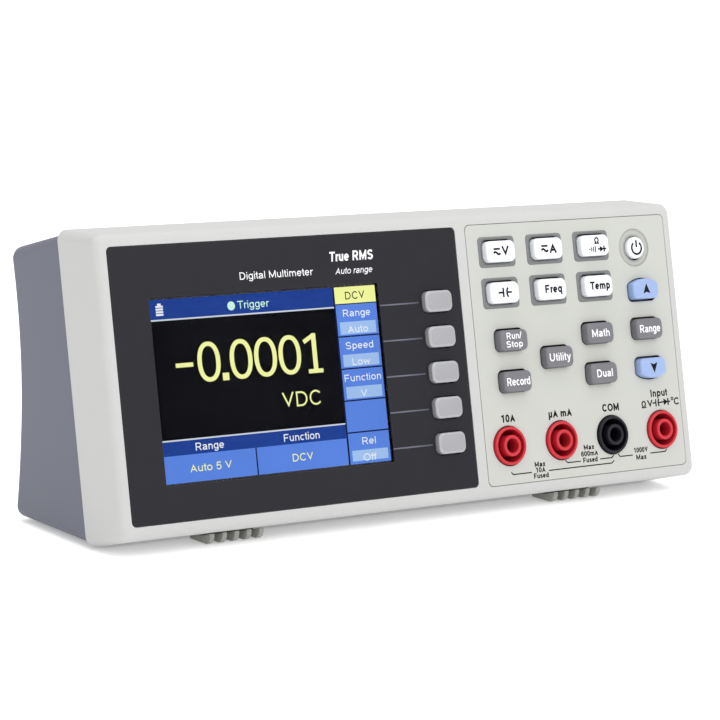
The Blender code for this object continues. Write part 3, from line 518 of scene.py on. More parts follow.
# ---------------------------------------------------------------- where things are (face frame, mm)
KEY_GAP = 0.32
SEAM_Y, SEAM_GAP, WALL = 18.2, 0.4, 2.4
bezel_low, bezel_high = face_box("front_bezel")
panel_low, panel_high = face_box("display_overlay")
film_low, film_high = face_box("keypad_film")
lens_low, lens_high = face_box("display_lens")
PANEL = (panel_low[0], panel_high[0], panel_low[2], panel_high[2])
FILM = (film_low[0], film_high[0], film_low[2], film_high[2])
WINDOW = (lens_low[0] - 0.15, lens_high[0] + 0.15, lens_low[2] - 0.15, lens_high[2] + 0.15)
SCR = (WINDOW[0] + 0.5, WINDOW[1] - 0.5, WINDOW[2] + 0.5, WINDOW[3] - 0.5)

SOFT = [f"softkey_{i + 1}" for i in range(5)]
WHITE = ["key_voltage", "key_current", "key_resistance", "key_capacitance", "key_frequency", "key_temperature"]
GREY = ["key_run_stop", "key_utility", "key_record", "key_math", "key_dual", "key_range"]
ARROWS = {"key_arrow_up": True, "key_arrow_down": False}
FLANGE = 1.32
KEYS = {}
for key in SOFT + WHITE + GREY + list(ARROWS) + ["power_button"]:
    low, high = face_box(key)
    KEYS[key] = {"at": ((low[0] + high[0]) / 2, (low[2] + high[2]) / 2), "w": high[0] - low[0] - 2 * FLANGE,
                 "h": high[2] - low[2] - 2 * FLANGE, "out": -low[1], "back": high[1]}
JACKS = {name: middle(f"jack_housing_{name}") for name in ("10a", "milliamp", "com", "input")}
JACK_R, JACK_WELL_R, JACK_POST_R, JACK_OUT = 5.5, 4.65, 3.05, 1.0
JACK_POST_OUT = -face_box("jack_housing_10a")[0][1]
JACK_Z = JACKS["10a"][1]


def key_outline(key):
    k = KEYS[key]
    if key in ARROWS:
        return arched(k["w"], k["h"], 1.5, ARROWS[key])
    if key == "power_button":
        return circle(k["w"] / 2, 64)
    r = 1.6 if key in GREY else 1.7
    return rounded(k["w"], k["h"], r, 4 if key in SOFT else 10)


def shifted(outline, at):
    return [(x + at[0], z + at[1]) for x, z in outline]


def key_opening(key, more=0.0):
    grow = KEY_GAP + more + (0.15 if key in ARROWS else 0.0)
    return shifted(shrink(key_outline(key), -grow), KEYS[key]["at"])


# the film's openings sit a little off their keys
FILM_SHIFT = {**{key: 0.20 for key in WHITE}, **{key: 0.22 for key in GREY}, "key_arrow_up": -0.15, "key_arrow_down": 0.12,
              "power_button": -0.12}
DISH, DISH_R, DISH_DEEP = (83.8, 54.6), 5.6, 0.15


def film_opening(key, more=0.0):
    return shifted(key_opening(key, more), (0.0, FILM_SHIFT[key]))


# ---------------------------------------------------------------- front bezel
FACE_X0, FACE_X1 = -0.05 - 99.45, -0.05 + 99.45
FACE_Z0, FACE_Z1 = -13.8, 66.9
SEAM = (-100.0, 100.0, -14.8, 70.2)
bm = tapered_block((FACE_X0, FACE_X1, FACE_Z0, FACE_Z1, 0.0), (*SEAM, SEAM_Y))
round_edges(bm, lambda e: abs(e.verts[0].co.y - e.verts[1].co.y) > 5, 3.0, 10)
round_edges(bm, lambda e: all(abs(v.co.y) < 1e-4 for v in e.verts), 2.3, 8)
inner = tapered_block((FACE_X0 + WALL, FACE_X1 - WALL, FACE_Z0 + WALL, FACE_Z1 - WALL, 2.6),
                      (SEAM[0] + WALL, SEAM[1] - WALL, SEAM[2] + WALL, SEAM[3] - WALL, SEAM_Y + 2.0))
round_edges(inner, lambda e: abs(e.verts[0].co.y - e.verts[1].co.y) > 5, 2.0, 5)
SCREWS = [middle(f"case_screw_{i + 1}") for i in range(4)]
posts, post_holes = bmesh.new(), bmesh.new()
for x, z in SCREWS:
    add_cylinder(posts, 3.2, 1.8, SEAM_Y - 0.4, x, 0.0, z)
    add_cylinder(post_holes, 1.7, 7.0, SEAM_Y + 2.0, x, 0.0, z)
recesses = prisms((rect(PANEL[0] - 0.15, PANEL[1] + 0.15, PANEL[2] - 0.15, PANEL[3] + 0.15, 1.4), -2.0, 1.1),
                  (rect(FILM[0] - 0.15, FILM[1] + 0.15, FILM[2] - 0.15, FILM[3] + 0.15, 1.6), -2.0, 0.6))
lcd_low, lcd_high = face_box("lcd_panel")
holes = prisms((rect(lcd_low[0] - 0.3, lcd_high[0] + 0.3, lcd_low[2] - 0.3, lcd_high[2] + 0.3), -3.0, 6.0),
               *[(key_opening(key, 0.05), -3.0, 6.0) for key in KEYS],
               *[(circle(JACK_R + 0.3, 64, x, z), -3.0, 6.0) for x, z in JACKS.values()])
seat = add_box(bmesh.new(), lcd_low[0] - 1.9, lcd_high[0] + 1.9, 2.3, 9.0, lcd_low[2] - 1.9, lcd_high[2] + 1.9)
foot_low, foot_high = level_box("tilt_foot_right")
FOOT_X, FOOT_W = (foot_low[0] + foot_high[0]) / 2, foot_high[0] - foot_low[0]
level_in_face = (FACE.inverted() @ LEVEL)
for i in range(3):
    level_in_face[i][3] /= MM
slots = bmesh.new()
for side in (-1, 1):
    add_box(slots, side * FOOT_X - FOOT_W / 2 - 0.35, side * FOOT_X + FOOT_W / 2 + 0.35, 8.6, 20.3, -22.0, -15.7)
slots.transform(level_in_face)
bm = carve(bm, ("DIFFERENCE", inner), ("UNION", posts), ("DIFFERENCE", post_holes), ("DIFFERENCE", recesses),
           ("DIFFERENCE", holes), ("DIFFERENCE", seat), ("DIFFERENCE", slots))
piece("front_bezel_shell", bm, M["bezel"], replaces=["front_bezel"], bevel=0.14, bevel_steps=3)

# ---------------------------------------------------------------- rear cover
COVER_REAR, COVER_REAR_TOP, COVER_FLOOR, REAR_WAIST = 55.6, 56.0, -17.8, 12.0


def seam_y(z):
    return ((SEAM_Y + SEAM_GAP) + z * SIN) / COS


def rear_y(z):
    return COVER_REAR + (0.00356 if z > REAR_WAIST else 0.0024) * (z - REAR_WAIST) ** 2


def rear_depth(z):
    low, high = 20.0, 80.0
    for _ in range(40):
        mid = (low + high) / 2
        if mid * COS + z * SIN < rear_y(z * COS - mid * SIN):
            low = mid
        else:
            high = mid
    return low


cover_top_z = 69.2 * COS - (SEAM_Y + SEAM_GAP) * SIN
bm = bmesh.new()
bmesh.ops.create_cube(bm, size=2.0)
for v in bm.verts:
    front, top = v.co.y < 0, v.co.z > 0
    z = (cover_top_z if front else COVER_REAR_TOP) if top else COVER_FLOOR
    y = seam_y(z) if front else COVER_REAR
    v.co = Vector(((99.3 - (0.0 if front else 1.0)) * (1 if v.co.x > 0 else -1), y, z))
round_edges(bm, lambda e: abs(e.verts[0].co.y - e.verts[1].co.y) > 15 and abs(e.verts[0].co.z - e.verts[1].co.z) < 10, 3.2, 8)
round_edges(bm, lambda e: all(abs(v.co.y - COVER_REAR) < 1e-3 for v in e.verts), 3.3, 6)
for i in range(21):
    bmesh.ops.bisect_plane(bm, geom=bm.verts[:] + bm.edges[:] + bm.faces[:], plane_co=(0.0, 0.0, -12.0 + 3.0 * i),
                           plane_no=(0.0, 0.0, 1.0), dist=1e-3)
bmesh.ops.recalc_face_normals(bm, faces=bm.faces)
front = [f for f in bm.faces if all(abs(v.co.y - seam_y(v.co.z)) < 0.02 for v in f.verts)]
bmesh.ops.delete(bm, geom=front, context="FACES_ONLY")
for v in bm.verts:
    along = (v.co.y - seam_y(v.co.z)) / (COVER_REAR - seam_y(v.co.z))
    v.co.y = seam_y(v.co.z) + along * (rear_y(v.co.z) - seam_y(v.co.z))
bmesh.ops.delete(bm, geom=[v for v in bm.verts if not v.link_faces], context="VERTS")
shell = temporary(bm)
solidify = shell.modifiers.new("wall", "SOLIDIFY")
solidify.thickness = WALL
solidify.offset = -1.0
solidify.use_even_offset = True
graph = bpy.context.evaluated_depsgraph_get()
solid = bpy.data.meshes.new_from_object(shell.evaluated_get(graph), depsgraph=graph)
bm = bmesh.new()
bm.from_mesh(solid)
bpy.data.objects.remove(shell, do_unlink=True)

face_in_level = level_in_face.inverted()
wells, holes, bosses, pockets, pins, ports, foot_holes = (bmesh.new() for _ in range(7))
cover_posts = bmesh.new()
for x, z in SCREWS:
    add_cylinder(cover_posts, 4.3, 20.0, rear_depth(z) - 1.0, x, 0.0, z)
    add_cylinder(holes, 1.9, 17.0, 60.0, x, 0.0, z)
    add_cylinder(wells, 3.2, rear_depth(z) - 7.0, 75.0, x, 0.0, z, steps=48)
for tool in (cover_posts, holes, wells):
    tool.transform(face_in_level)
pin_low, pin_high = level_box("foot_pin_right")
FOOT_AXIS = ((pin_low[1] + pin_high[1]) / 2, (pin_low[2] + pin_high[2]) / 2)
for side in (-1, 1):
    add_box(bosses, side * FOOT_X - FOOT_W / 2 - 2.9, side * FOOT_X + FOOT_W / 2 + 2.9, 17.6, 22.2, COVER_FLOOR + 1.2, -11.3)
    add_box(pockets, side * FOOT_X - FOOT_W / 2 - 0.35, side * FOOT_X + FOOT_W / 2 + 0.35, 14.0, 20.8, -22.0, -12.8)
    add_cylinder(pins, 1.3, -FOOT_W / 2 - 2.3, FOOT_W / 2 + 2.3, side * FOOT_X, *FOOT_AXIS, axis="X", steps=24)
dc_low, dc_high = level_box("dc_jack")
usb_low, usb_high = level_box("usb_port")
DC_X, USB_X, PORT_Z = (dc_low[0] + dc_high[0]) / 2, (usb_low[0] + usb_high[0]) / 2, (usb_low[2] + usb_high[2]) / 2
foot_lo, foot_hi = level_box("rear_foot_right")
REAR_FOOT = ((foot_lo[0] + foot_hi[0]) / 2, (foot_lo[1] + foot_hi[1]) / 2, foot_lo[2])
recess = prisms((rect(-84.0, -42.0, PORT_Z - 9.0, PORT_Z + 9.0, 2.0), 54.9, 62.0))
add_prism(ports, circle(4.4, 48, DC_X, PORT_Z), 48.0, 60.0)
add_prism(ports, rect(USB_X - 6.4, USB_X + 6.4, PORT_Z - 5.8, PORT_Z + 5.8, 0.5), 48.0, 60.0)
for side in (-1, 1):
    add_cylinder(foot_holes, 2.5, -20.0, -12.0, side * REAR_FOOT[0], REAR_FOOT[1], 0.0, axis="Z")
trim = add_box(bmesh.new(), -120.0, 120.0, 4.0, SEAM_Y + SEAM_GAP + 0.02, -40.0, 100.0)
trim.transform(face_in_level)
bm = carve(bm, ("DIFFERENCE", trim), ("UNION", cover_posts), ("UNION", bosses), ("DIFFERENCE", holes), ("DIFFERENCE", wells), ("DIFFERENCE", pockets),
           ("DIFFERENCE", pins), ("DIFFERENCE", recess), ("DIFFERENCE", ports), ("DIFFERENCE", foot_holes))
piece("rear_cover_shell", bm, M["slate"], where=LEVEL, replaces=["rear_cover"], bevel=0.14, bevel_steps=2)

# ---------------------------------------------------------------- display panel, window, film
bm = carve(prisms((rect(*PANEL, 1.4, 8), 0.0, panel_high[1])),
           ("DIFFERENCE", prisms((rect(*WINDOW, 0.5, 4), -2.0, 3.0), *[(key_opening(key), -2.0, 3.0) for key in SOFT])))
piece("display_overlay_panel", bm, M["black"], replaces=["display_overlay"], bevel=0.10, bevel_steps=3)
bm = prisms((rect(WINDOW[0] + 0.12, WINDOW[1] - 0.12, WINDOW[2] + 0.12, WINDOW[3] - 0.12, 0.4, 4), 0.02, lens_high[1]))
piece("display_window", bm, M["clear"], replaces=["display_lens"], bevel=0.08, bevel_steps=2)
bm = carve(prisms((rect(*FILM, 1.6, 8), 0.0, film_high[1])),
           ("DIFFERENCE", prisms((circle(DISH_R, 96, *DISH), -2.0, DISH_DEEP))),
           ("DIFFERENCE", prisms(*[(film_opening(key), -2.0, 3.0) for key in KEYS if key not in SOFT],
                                 *[(circle(JACK_R + 0.3, 64, x, z), -2.0, 3.0) for x, z in JACKS.values()])))
piece("keypad_film_sheet", bm, M["film"], replaces=["keypad_film"], bevel=0.07, bevel_steps=2)


# painted shade behind the film: a black flange round each opening and a sleeve down its wall, standing in for the shade
# in the key gaps
bm = bmesh.new()
for key in KEYS:
    deep = film_high[1] + 0.09 if key not in SOFT else panel_high[1] + 0.12
    ring_out, ring_in = key_opening(key, 0.55), key_opening(key, -0.03)
    skin(bm, [(ring_out, deep), (ring_in, deep), (ring_in, 2.5)], False, False)
piece("key_gap_painted_shade", bm, M["gap_shade"], thick=0.05)

# painted shade in the seam: a dark strip that keeps the seam line dark
bm = bmesh.new()
outer, inner = rect(-99.0, 99.0, -13.7, 68.9, 2.6, 8), rect(-97.4, 97.4, -12.1, 67.3, 1.2, 8)
skin(bm, [(outer, SEAM_Y + 0.02), (inner, SEAM_Y + 0.02), (inner, SEAM_Y + SEAM_GAP), (outer, SEAM_Y + SEAM_GAP), (outer, SEAM_Y + 0.02)],
     False, False)
piece("seam_painted_shade", bm, M["gap_shade"])


# ---------------------------------------------------------------- keys
CROWN = 0.12


def chamfered_key(key, finish, edge, c):
    """A key with one flat facet all round its front; the facet has a lighter second material, a painted highlight."""
    k = KEYS[key]
    base = key_outline(key)
    top = -k["out"]
    loops = [(shrink(base, -FLANGE), k["back"]), (shrink(base, -FLANGE), k["back"] - 1.0), (base, k["back"] - 1.0),
             (base, top + c + 0.10), (shrink(base, 0.06), top + c), (shrink(base, c), top + 0.05), (shrink(base, c + 0.12), top)]
    bm = skin(bmesh.new(), loops)
    bmesh.ops.translate(bm, verts=bm.verts, vec=(k["at"][0], 0.0, k["at"][1]))
    obj = piece(f"{key}_cap", bm, finish, body=key, replaces=[key], sharp=28.0)
    # the slanted facets take the lighter material: painted highlight
    obj.data.materials.append(edge)
    for polygon in obj.data.polygons:
        if 0.25 < abs(polygon.normal.dot(AXIS)) < 0.95:
            polygon.material_index = 1
    return obj


def key_piece(key, finish, r, crown):
    k = KEYS[key]
    base = key_outline(key)
    top = -k["out"] + crown
    loops = [(shrink(base, -FLANGE), k["back"]), (shrink(base, -FLANGE), k["back"] - 1.0), (base, k["back"] - 1.0), (base, top + r)]
    for i in range(1, 9):
        t = math.radians(90 * i / 8)
        loops.append((shrink(base, r * (1 - math.cos(t))), top + r * (1 - math.sin(t))))
    inner = shrink(base, r)
    for s in (0.96, 0.92, 0.88, 0.84, 0.5, 0.06):
        loops.append(([(x * s, z * s) for x, z in inner], -k["out"] + crown * max(0.0, (s - 0.84) / 0.16) ** 1.6))
    bm = skin(bmesh.new(), loops)
    bmesh.ops.translate(bm, verts=bm.verts, vec=(k["at"][0], 0.0, k["at"][1]))
    return piece(f"{key}_cap", bm, finish, body=key, replaces=[key], sharp=50.0)


for key in SOFT:
    chamfered_key(key, M["softkey"], M["softkey_painted_highlight"], 0.42)
for key in WHITE:
    key_piece(key, M["white"], 0.7, CROWN)
for key in GREY:
    key_piece(key, M["grey"], 0.7, CROWN)
for key in ARROWS:
    key_piece(key, M["blue"], 0.7, CROWN)
key_piece("power_button", M["white"], 0.6, CROWN)

# ---------------------------------------------------------------- input jacks
for name, (x, z) in JACKS.items():
    def lip(r, h, radius, start, stop):
        """A rounded rim: points of a quarter circle about (r, h)."""
        return [(r + radius * math.cos(math.radians(start + (stop - start) * i / 5)),
                 h + radius * math.sin(math.radians(start + (stop - start) * i / 5))) for i in range(6)]
    bore_r, post_lip, post = 2.65, 2.1, JACK_POST_OUT
    profile = [(bore_r, -16.0), (bore_r, -2.4), (post_lip, -2.4), *lip(post_lip + 0.22, post - 0.22, 0.22, 180, 90),
               *lip(JACK_POST_R - 0.28, post - 0.28, 0.28, 90, 0), (JACK_POST_R, -12.0), (JACK_WELL_R, -12.0),
               *lip(JACK_WELL_R + 0.25, JACK_OUT - 0.25, 0.25, 180, 90), *lip(JACK_R - 0.38, JACK_OUT - 0.38, 0.38, 90, 0),
               (JACK_R, -2.9), (6.2, -2.9), (6.2, -4.4), (JACK_R, -4.4), (JACK_R, -16.0)]
    key = "jack_black" if name == "com" else "red"
    piece(f"jack_{name}_body", lathe(profile, x, z, 96), M[key], replaces=[f"jack_housing_{name}"], sharp=45.0)
    contact = [(0.0, -14.0), (2.0, -14.0), (2.0, -6.7), (2.1, -6.5), (2.25, -6.5), (2.35, -6.7), (2.35, -17.5), (0.9, -17.5),
               (0.9, -22.9), (0.8, -23.0), (0.0, -23.0)]
    piece(f"jack_{name}_contact", lathe(contact, x, z, 48), M["gold"], replaces=[f"jack_contact_{name}"], sharp=40.0)


# ---------------------------------------------------------------- tilt feet
def foot_profile():
    ay, az = FOOT_AXIS

    def under_bezel(y):
        y0, z0 = 2.3 * COS + FACE_Z0 * SIN, FACE_Z0 * COS - 2.3 * SIN
        y1, z1 = SEAM_Y * COS + SEAM[2] * SIN, SEAM[2] * COS - SEAM_Y * SIN
        return z0 + (z1 - z0) * (y - y0) / (y1 - y0) - 0.35
    points = [(3.7, under_bezel(3.7))]
    points += arc(6.3, -16.3, 2.6, 180, 270, 10)
    points += arc(13.5, -18.2, 0.7, 270, 360, 4)
    points += [(15.2, -18.1)]
    points += arc(ay, az, 1.9, 255, 470, 26)
    points += [(15.4, -16.05), (8.9, -16.05), (8.9, under_bezel(8.9))]
    return points


FINS, FIN_T = 5, 1.52
pitch = (FOOT_W - FIN_T) / (FINS - 1)
for side, name in ((-1, "left"), (1, "right")):
    x = side * FOOT_X
    bm = bmesh.new()
    verts = [bm.verts.new((x - FOOT_W / 2, y, z)) for y, z in foot_profile()]
    grown = bmesh.ops.extrude_face_region(bm, geom=[bm.faces.new(verts)])
    bmesh.ops.translate(bm, verts=[v for v in grown["geom"] if isinstance(v, bmesh.types.BMVert)], vec=(FOOT_W, 0.0, 0.0))
    gaps = bmesh.new()
    for i in range(FINS - 1):
        mid = x + (i - (FINS - 2) / 2) * pitch
        half = (pitch - FIN_T) / 2
        add_box(gaps, mid - half, mid + half, 2.0, 8.2, -21.0, -12.0)
    bore = add_cylinder(bmesh.new(), 1.3, -FOOT_W, FOOT_W, x, *FOOT_AXIS, axis="X", steps=32)
    bm = carve(bm, ("DIFFERENCE", gaps), ("DIFFERENCE", bore))
    piece(f"tilt_foot_{name}_ribbed", bm, M["foot"], body=f"tilt_foot_{name}", where=LEVEL,
          replaces=[f"tilt_foot_{name}"], bevel=0.28, bevel_steps=4)
    profile = [(0.0, 6.2), (1.3, 6.2), (1.6, 6.1), (2.1, 5.4), (2.1, 1.0), (5.85, 1.0), (6.0, 0.85), (6.0, 0.45), (5.85, 0.15),
               (5.5, 0.0), (4.6, 0.0), (4.4, 0.25), (4.0, 0.25), (3.8, 0.0), (0.0, 0.0)]
    bm = lathe(profile, 0.0, 0.0, 64)
    bm.transform(Matrix.Translation((side * REAR_FOOT[0], REAR_FOOT[1], REAR_FOOT[2])) @ Matrix.Rotation(math.radians(-90), 4, "X"))
    piece(f"rear_foot_{name}_pad", bm, M["rubber"], where=LEVEL, replaces=[f"rear_foot_{name}"], sharp=40.0)

# ---------------------------------------------------------------- case screws, cross recessed
for i, (x, z) in enumerate(SCREWS):
    low, high = face_box(f"case_screw_{i + 1}")
    head = high[1]
    profile = [(0.0, 0.0), (1.6, 0.0), (2.3, 0.12), (2.75, 0.45), (2.9, 0.9), (2.9, 1.9), (1.5, 1.9)]
    for k in range(9):
        profile += [(1.5, 2.6 + 1.2 * k), (1.15, 3.2 + 1.2 * k)]
    profile += [(0.5, low[1] * -1 + head - 0.3), (0.0, head - low[1])]
    profile = [(r, h) for r, h in profile if h <= head - low[1]]
    bm = lathe([(r, h) for r, h in profile], x, z, 40)
    bmesh.ops.translate(bm, verts=bm.verts, vec=(0.0, head, 0.0))
    cuts = [add_box(bmesh.new(), x - w / 2, x + w / 2, head - deep, head + 1.0, z - h / 2, z + h / 2)
            for w, h, deep in ((3.4, 0.75, 1.3), (0.75, 3.4, 1.35))]
    bm = carve(bm, *[("DIFFERENCE", cut) for cut in cuts])
    piece(f"case_screw_{i + 1}_cross", bm, M["steel"], replaces=[f"case_screw_{i + 1}"], sharp=35.0)

# ---------------------------------------------------------------- nodes shown as they are
FINISH = {"lcd_panel": "screen_back", "lcd_frame": "steel", "softkey_mat": "silicone", "keypad_mat": "silicone", "key_pcb": "board",
          "main_pcb": "board", "buzzer": "rubber", "fuse_10a": "glass", "fuse_600ma": "glass", "fuse_holder_10a": "steel",
          "fuse_holder_600ma": "steel", "battery_cell": "cell", "battery_holder": "jack_black", "dc_jack": "jack_black",
          "usb_port": "steel", "foot_pin_left": "steel", "foot_pin_right": "steel"}
for node, finish in FINISH.items():
    obj = frame["nodes"][node]
    obj.data.materials.clear()
    obj.data.materials.append(M[finish])
    if node in ("dc_jack", "usb_port", "battery_holder", "battery_cell", "main_pcb", "buzzer"):
        edge = obj.modifiers.new("edges", "BEVEL")
        edge.width = 0.12 * MM
        edge.segments = 2
        edge.limit_method = "ANGLE"
        edge.angle_limit = math.radians(40)
        edge.harden_normals = True


# ---------------------------------------------------------------- flat prints: shapes and lettering
def bow(cx, cz, rx, rz, start, stop, steps=14):
    return [(cx + rx * math.cos(math.radians(start + (stop - start) * i / steps)),
             cz + rz * math.sin(math.radians(start + (stop - start) * i / steps))) for i in range(steps + 1)]


def glyph(c, t):
    """A plain sans letter as (advance, centre lines of its strokes); capitals are 1 high, strokes t wide."""
    h, x = t / 2, 0.725
    top, low, mid, up = 1 - h, h, 0.3625, x - h
    left, right = 0.09 + h, 0.69 - h

    def stem(at, z0=0.0, z1=1.0):
        return [(at, z0), (at, z1)]

    def bowl(cx):
        return bow(cx, mid, 0.325 - h, 0.3725 - h, 0, 360, 24)

    def hump(x0, x1):
        return bow((x0 + x1) / 2, 0.44, (x1 - x0) / 2, up - 0.44, 180, 0, 10) + [(x1, 0.0)]

    def dish(x0, x1, z, high):
        return [(x0, high)] + bow((x0 + x1) / 2, z, (x1 - x0) / 2, z - low, 180, 360, 12) + [(x1, high)]

    def snake(cx, r0, r1, z0, z1, z2, end):
        return bow(cx, (z1 + z2) / 2, r0, (z2 - z1) / 2, 22, 270) + bow(cx, (z0 + z1) / 2, r1, (z1 - z0) / 2, 90, end)[1:]
    shapes = {
        "A": (0.93, [[(0.03 + h, 0.0), (0.465, 1 - 2.3 * h), (0.90 - h, 0.0)], [(0.21, 0.31), (0.72, 0.31)]]),
        "V": (0.93, [[(0.03 + h, 1.0), (0.465, 2.3 * h), (0.90 - h, 1.0)]]),
        "M": (1.163, [stem(left), stem(1.07 - h), [(left, 1 - 1.1 * h), (0.58, 2.0 * h), (1.07 - h, 1 - 1.1 * h)]]),
        "C": (1.01, [bow(0.53, 0.5, 0.46 - h, 0.51 - h, 40, 320, 20)]),
        "O": (1.087, [bow(0.543, 0.5, 0.49 - h, 0.51 - h, 0, 360, 28)]),
        "D": (1.01, [stem(0.11 + h), [(0.11, top), (0.45, top)] + bow(0.47, 0.5, 0.46 - h, 0.5 - h, 90, -90) + [(0.45, low), (0.11, low)]]),
        "F": (0.853, [stem(0.11 + h), [(0.11, top), (0.79, top)], [(0.11, 0.49), (0.70, 0.49)]]),
        "I": (0.388, [stem(0.194)]),
        "L": (0.777, [stem(0.10 + h), [(0.10, low), (0.72, low)]]),
        "R": (1.01, [stem(0.11 + h), [(0.11, top), (0.58, top)] + bow(0.60, (top + 0.46) / 2, 0.29 - h, (top - 0.46) / 2, 90, -90) +
                     [(0.58, 0.46), (0.11, 0.46)], [(0.55, 0.46), (0.93 - h, 0.0)]]),
        "S": (0.93, [snake(0.465, 0.38 - h, 0.40 - h, low - 0.01, 0.5, top + 0.01, -158)]),
        "T": (0.853, [stem(0.4265), [(0.02, top), (0.83, top)]]),
        "U": (1.01, [dish(0.11 + h, 0.90 - h, 0.38, 1.0)]),
        "Ω": (1.04, [[(0.06, low), (0.38, low)] + bow(0.52, 0.57, 0.44 - h, 0.44 - h, 238, -58, 22) + [(0.66, low), (0.98, low)]]),
        "a": (0.777, [bow(0.36, 0.50, 0.31 - h, up - 0.50, 165, 0, 10) + [(0.67 - h, 0.16), (0.70 - h, 0.0)],
                      [(0.67 - h, 0.43), (0.38, 0.39)] + bow(0.30, 0.20, 0.26 - h, 0.21 - h, 105, 300) + [(0.67 - h, 0.22)]]),
        "c": (0.698, [bow(0.37, mid, 0.325 - h, 0.3725 - h, 48, 312, 18)]),
        "d": (0.777, [bowl(0.375), stem(0.70 - h)]),
        "e": (0.777, [bow(0.385, mid, 0.34 - h, 0.3725 - h, 0, 318, 20), [(0.05 + h, mid), (0.72 - h * 0.6, mid)]]),
        "f": (0.388, [bow(0.35, 0.80, 0.17, top - 0.80, 78, 180, 6) + [(0.18, 0.0)], [(0.0, x - h), (0.37, x - h)]]),
        "g": (0.777, [bowl(0.375), [(0.70 - h, x)] + bow(0.375, -0.04, 0.325 - h, 0.25 - h, 0, -155)]),
        "h": (0.777, [stem(left), hump(left, right)]),
        "i": (0.31, [stem(0.155, 0.0, x), stem(0.155, 0.87, 1.0)]),
        "l": (0.31, [stem(0.155)]),
        "m": (1.163, [stem(left, 0.0, x), hump(left, 0.58), hump(0.58, 1.07 - h)]),
        "n": (0.777, [stem(left, 0.0, x), hump(left, right)]),
        "o": (0.777, [bow(0.388, mid, 0.345 - h, 0.3725 - h, 0, 360, 24)]),
        "p": (0.777, [stem(0.08 + h, -0.28, x), bowl(0.405)]),
        "q": (0.777, [stem(0.70 - h, -0.28, x), bowl(0.375)]),
        "r": (0.465, [stem(left, 0.0, x), bow(0.42, 0.42, 0.42 - left, up - 0.42, 180, 78, 8)]),
        "s": (0.698, [snake(0.345, 0.285 - h, 0.305 - h, low - 0.01, 0.365, up + 0.01, -158)]),
        "t": (0.388, [[(0.19, 0.94)] + bow(0.33, 0.17, 0.14, 0.17 - low, 180, 275, 6), [(0.01, x - h), (0.36, x - h)]]),
        "u": (0.777, [dish(left, right, 0.29, x), stem(right, 0.0, x)]),
        "µ": (0.80, [stem(left, -0.28, x), dish(left, right, 0.29, x), stem(right, 0.0, x)]),
        "w": (1.01, [[(0.02 + h, x), (0.28, 1.7 * h), (0.505, x - 1.7 * h), (0.73, 1.7 * h), (0.99 - h, x)]]),
        "x": (0.698, [[(0.02 + h, x), (0.68 - h, 0.0)], [(0.68 - h, x), (0.02 + h, 0.0)]]),
        "y": (0.698, [[(0.03 + h, x), (0.36, 0.02)], [(0.67 - h, x), (0.34, -0.08), (0.24, -0.28 + h), (0.08, -0.28 + h)]]),
        "/": (0.388, [[(0.03, -0.02), (0.36, 1.02)]]),
        "0": (0.777, [bow(0.388, 0.5, 0.34 - h, 0.51 - h, 0, 360, 24)]),
        "1": (0.777, [stem(0.47), [(0.16, 0.74), (0.32, 0.83), (0.47, 1 - h)]]),
        "5": (0.777, [[(0.68, top), (0.22, top), (0.15, 0.50)] + bow(0.38, 0.335, 0.34 - h, 0.345 - h, 142, -155, 18)]),
        "6": (0.777, [bow(0.395, 0.33, 0.345 - h, 0.34 - h, 0, 360, 22), bow(0.42, 0.50, 0.37 - h, 0.51 - h, 38, 190, 12)]),
        " ": (0.388, [])}
    return shapes[c]


def letters(string, t, shear, space):
    """Centre lines of a line of lettering, set from 0."""
    at, lines = 0.0, []
    for c in string:
        advance, strokes = glyph(c, t)
        lines += [[(px + at + shear * pz, pz) for px, pz in line] for line in strokes]
        at += advance * space
    return lines


prints = {}


def sheet(body, ink):
    return prints.setdefault((body, ink), bmesh.new())


def depth_of(y, x, z):
    return y(x, z) if callable(y) else y


def write(bm, string, at, cap, y, width=None, bold=0.0, shear=0.0, space=1.0, align="CENTER"):
    """Lettering on the face: at is the middle of its capitals' height, and of its width unless align says LEFT."""
    t = 0.125 + 2.0 * bold
    lines = letters(string, t, shear, space)
    x0, x1 = min(p[0] for line in lines for p in line), max(p[0] for line in lines for p in line)
    kx = (width - t * cap) / max(1e-6, x1 - x0) if width and x1 - x0 > 0.05 else cap
    shift = {"CENTER": (x0 + x1) / 2, "LEFT": x0, "RIGHT": x1}[align]
    for i, line in enumerate(lines):
        stroke(bm, [(at[0] + (px - shift) * kx, at[1] + (pz - 0.5) * cap) for px, pz in line], t * cap, y - 0.002 * (i % 3))


def shape(bm, outline, y):
    face = bm.faces.new([bm.verts.new((x, depth_of(y, x, z), z)) for x, z in outline])
    bmesh.ops.triangulate(bm, faces=[face])


def ring(bm, outer, inner, y):
    skin(bm, [(outer, y), (inner, y)], False, False)


def stroke(bm, points, width, y):
    """A line of constant width through points, mitred at its corners."""
    points = [Vector(p) for p in points]
    left, right = [], []
    for i, p in enumerate(points):
        a = (p - points[i - 1]).normalized() if i else None
        b = (points[i + 1] - p).normalized() if i + 1 < len(points) else None
        d = ((a or b) + (b or a)).normalized()
        n = Vector((-d.y, d.x))
        grow = 1.0 / max(0.4, n.dot(Vector((-(b or a).y, (b or a).x))))
        left.append(p + n * width / 2 * grow)
        right.append(p - n * width / 2 * grow)
    rings = [[bm.verts.new((q.x, depth_of(y, q.x, q.y), q.y)) for q in pair] for pair in zip(left, right)]
    for (a, b), (c, d) in zip(rings, rings[1:]):
        bm.faces.new((a, b, d, c))


def wave(cx, cz, w, h, steps=16):
    return [(cx - w / 2 + w * i / steps, cz + h * math.sin(2 * math.pi * i / steps)) for i in range(steps + 1)]


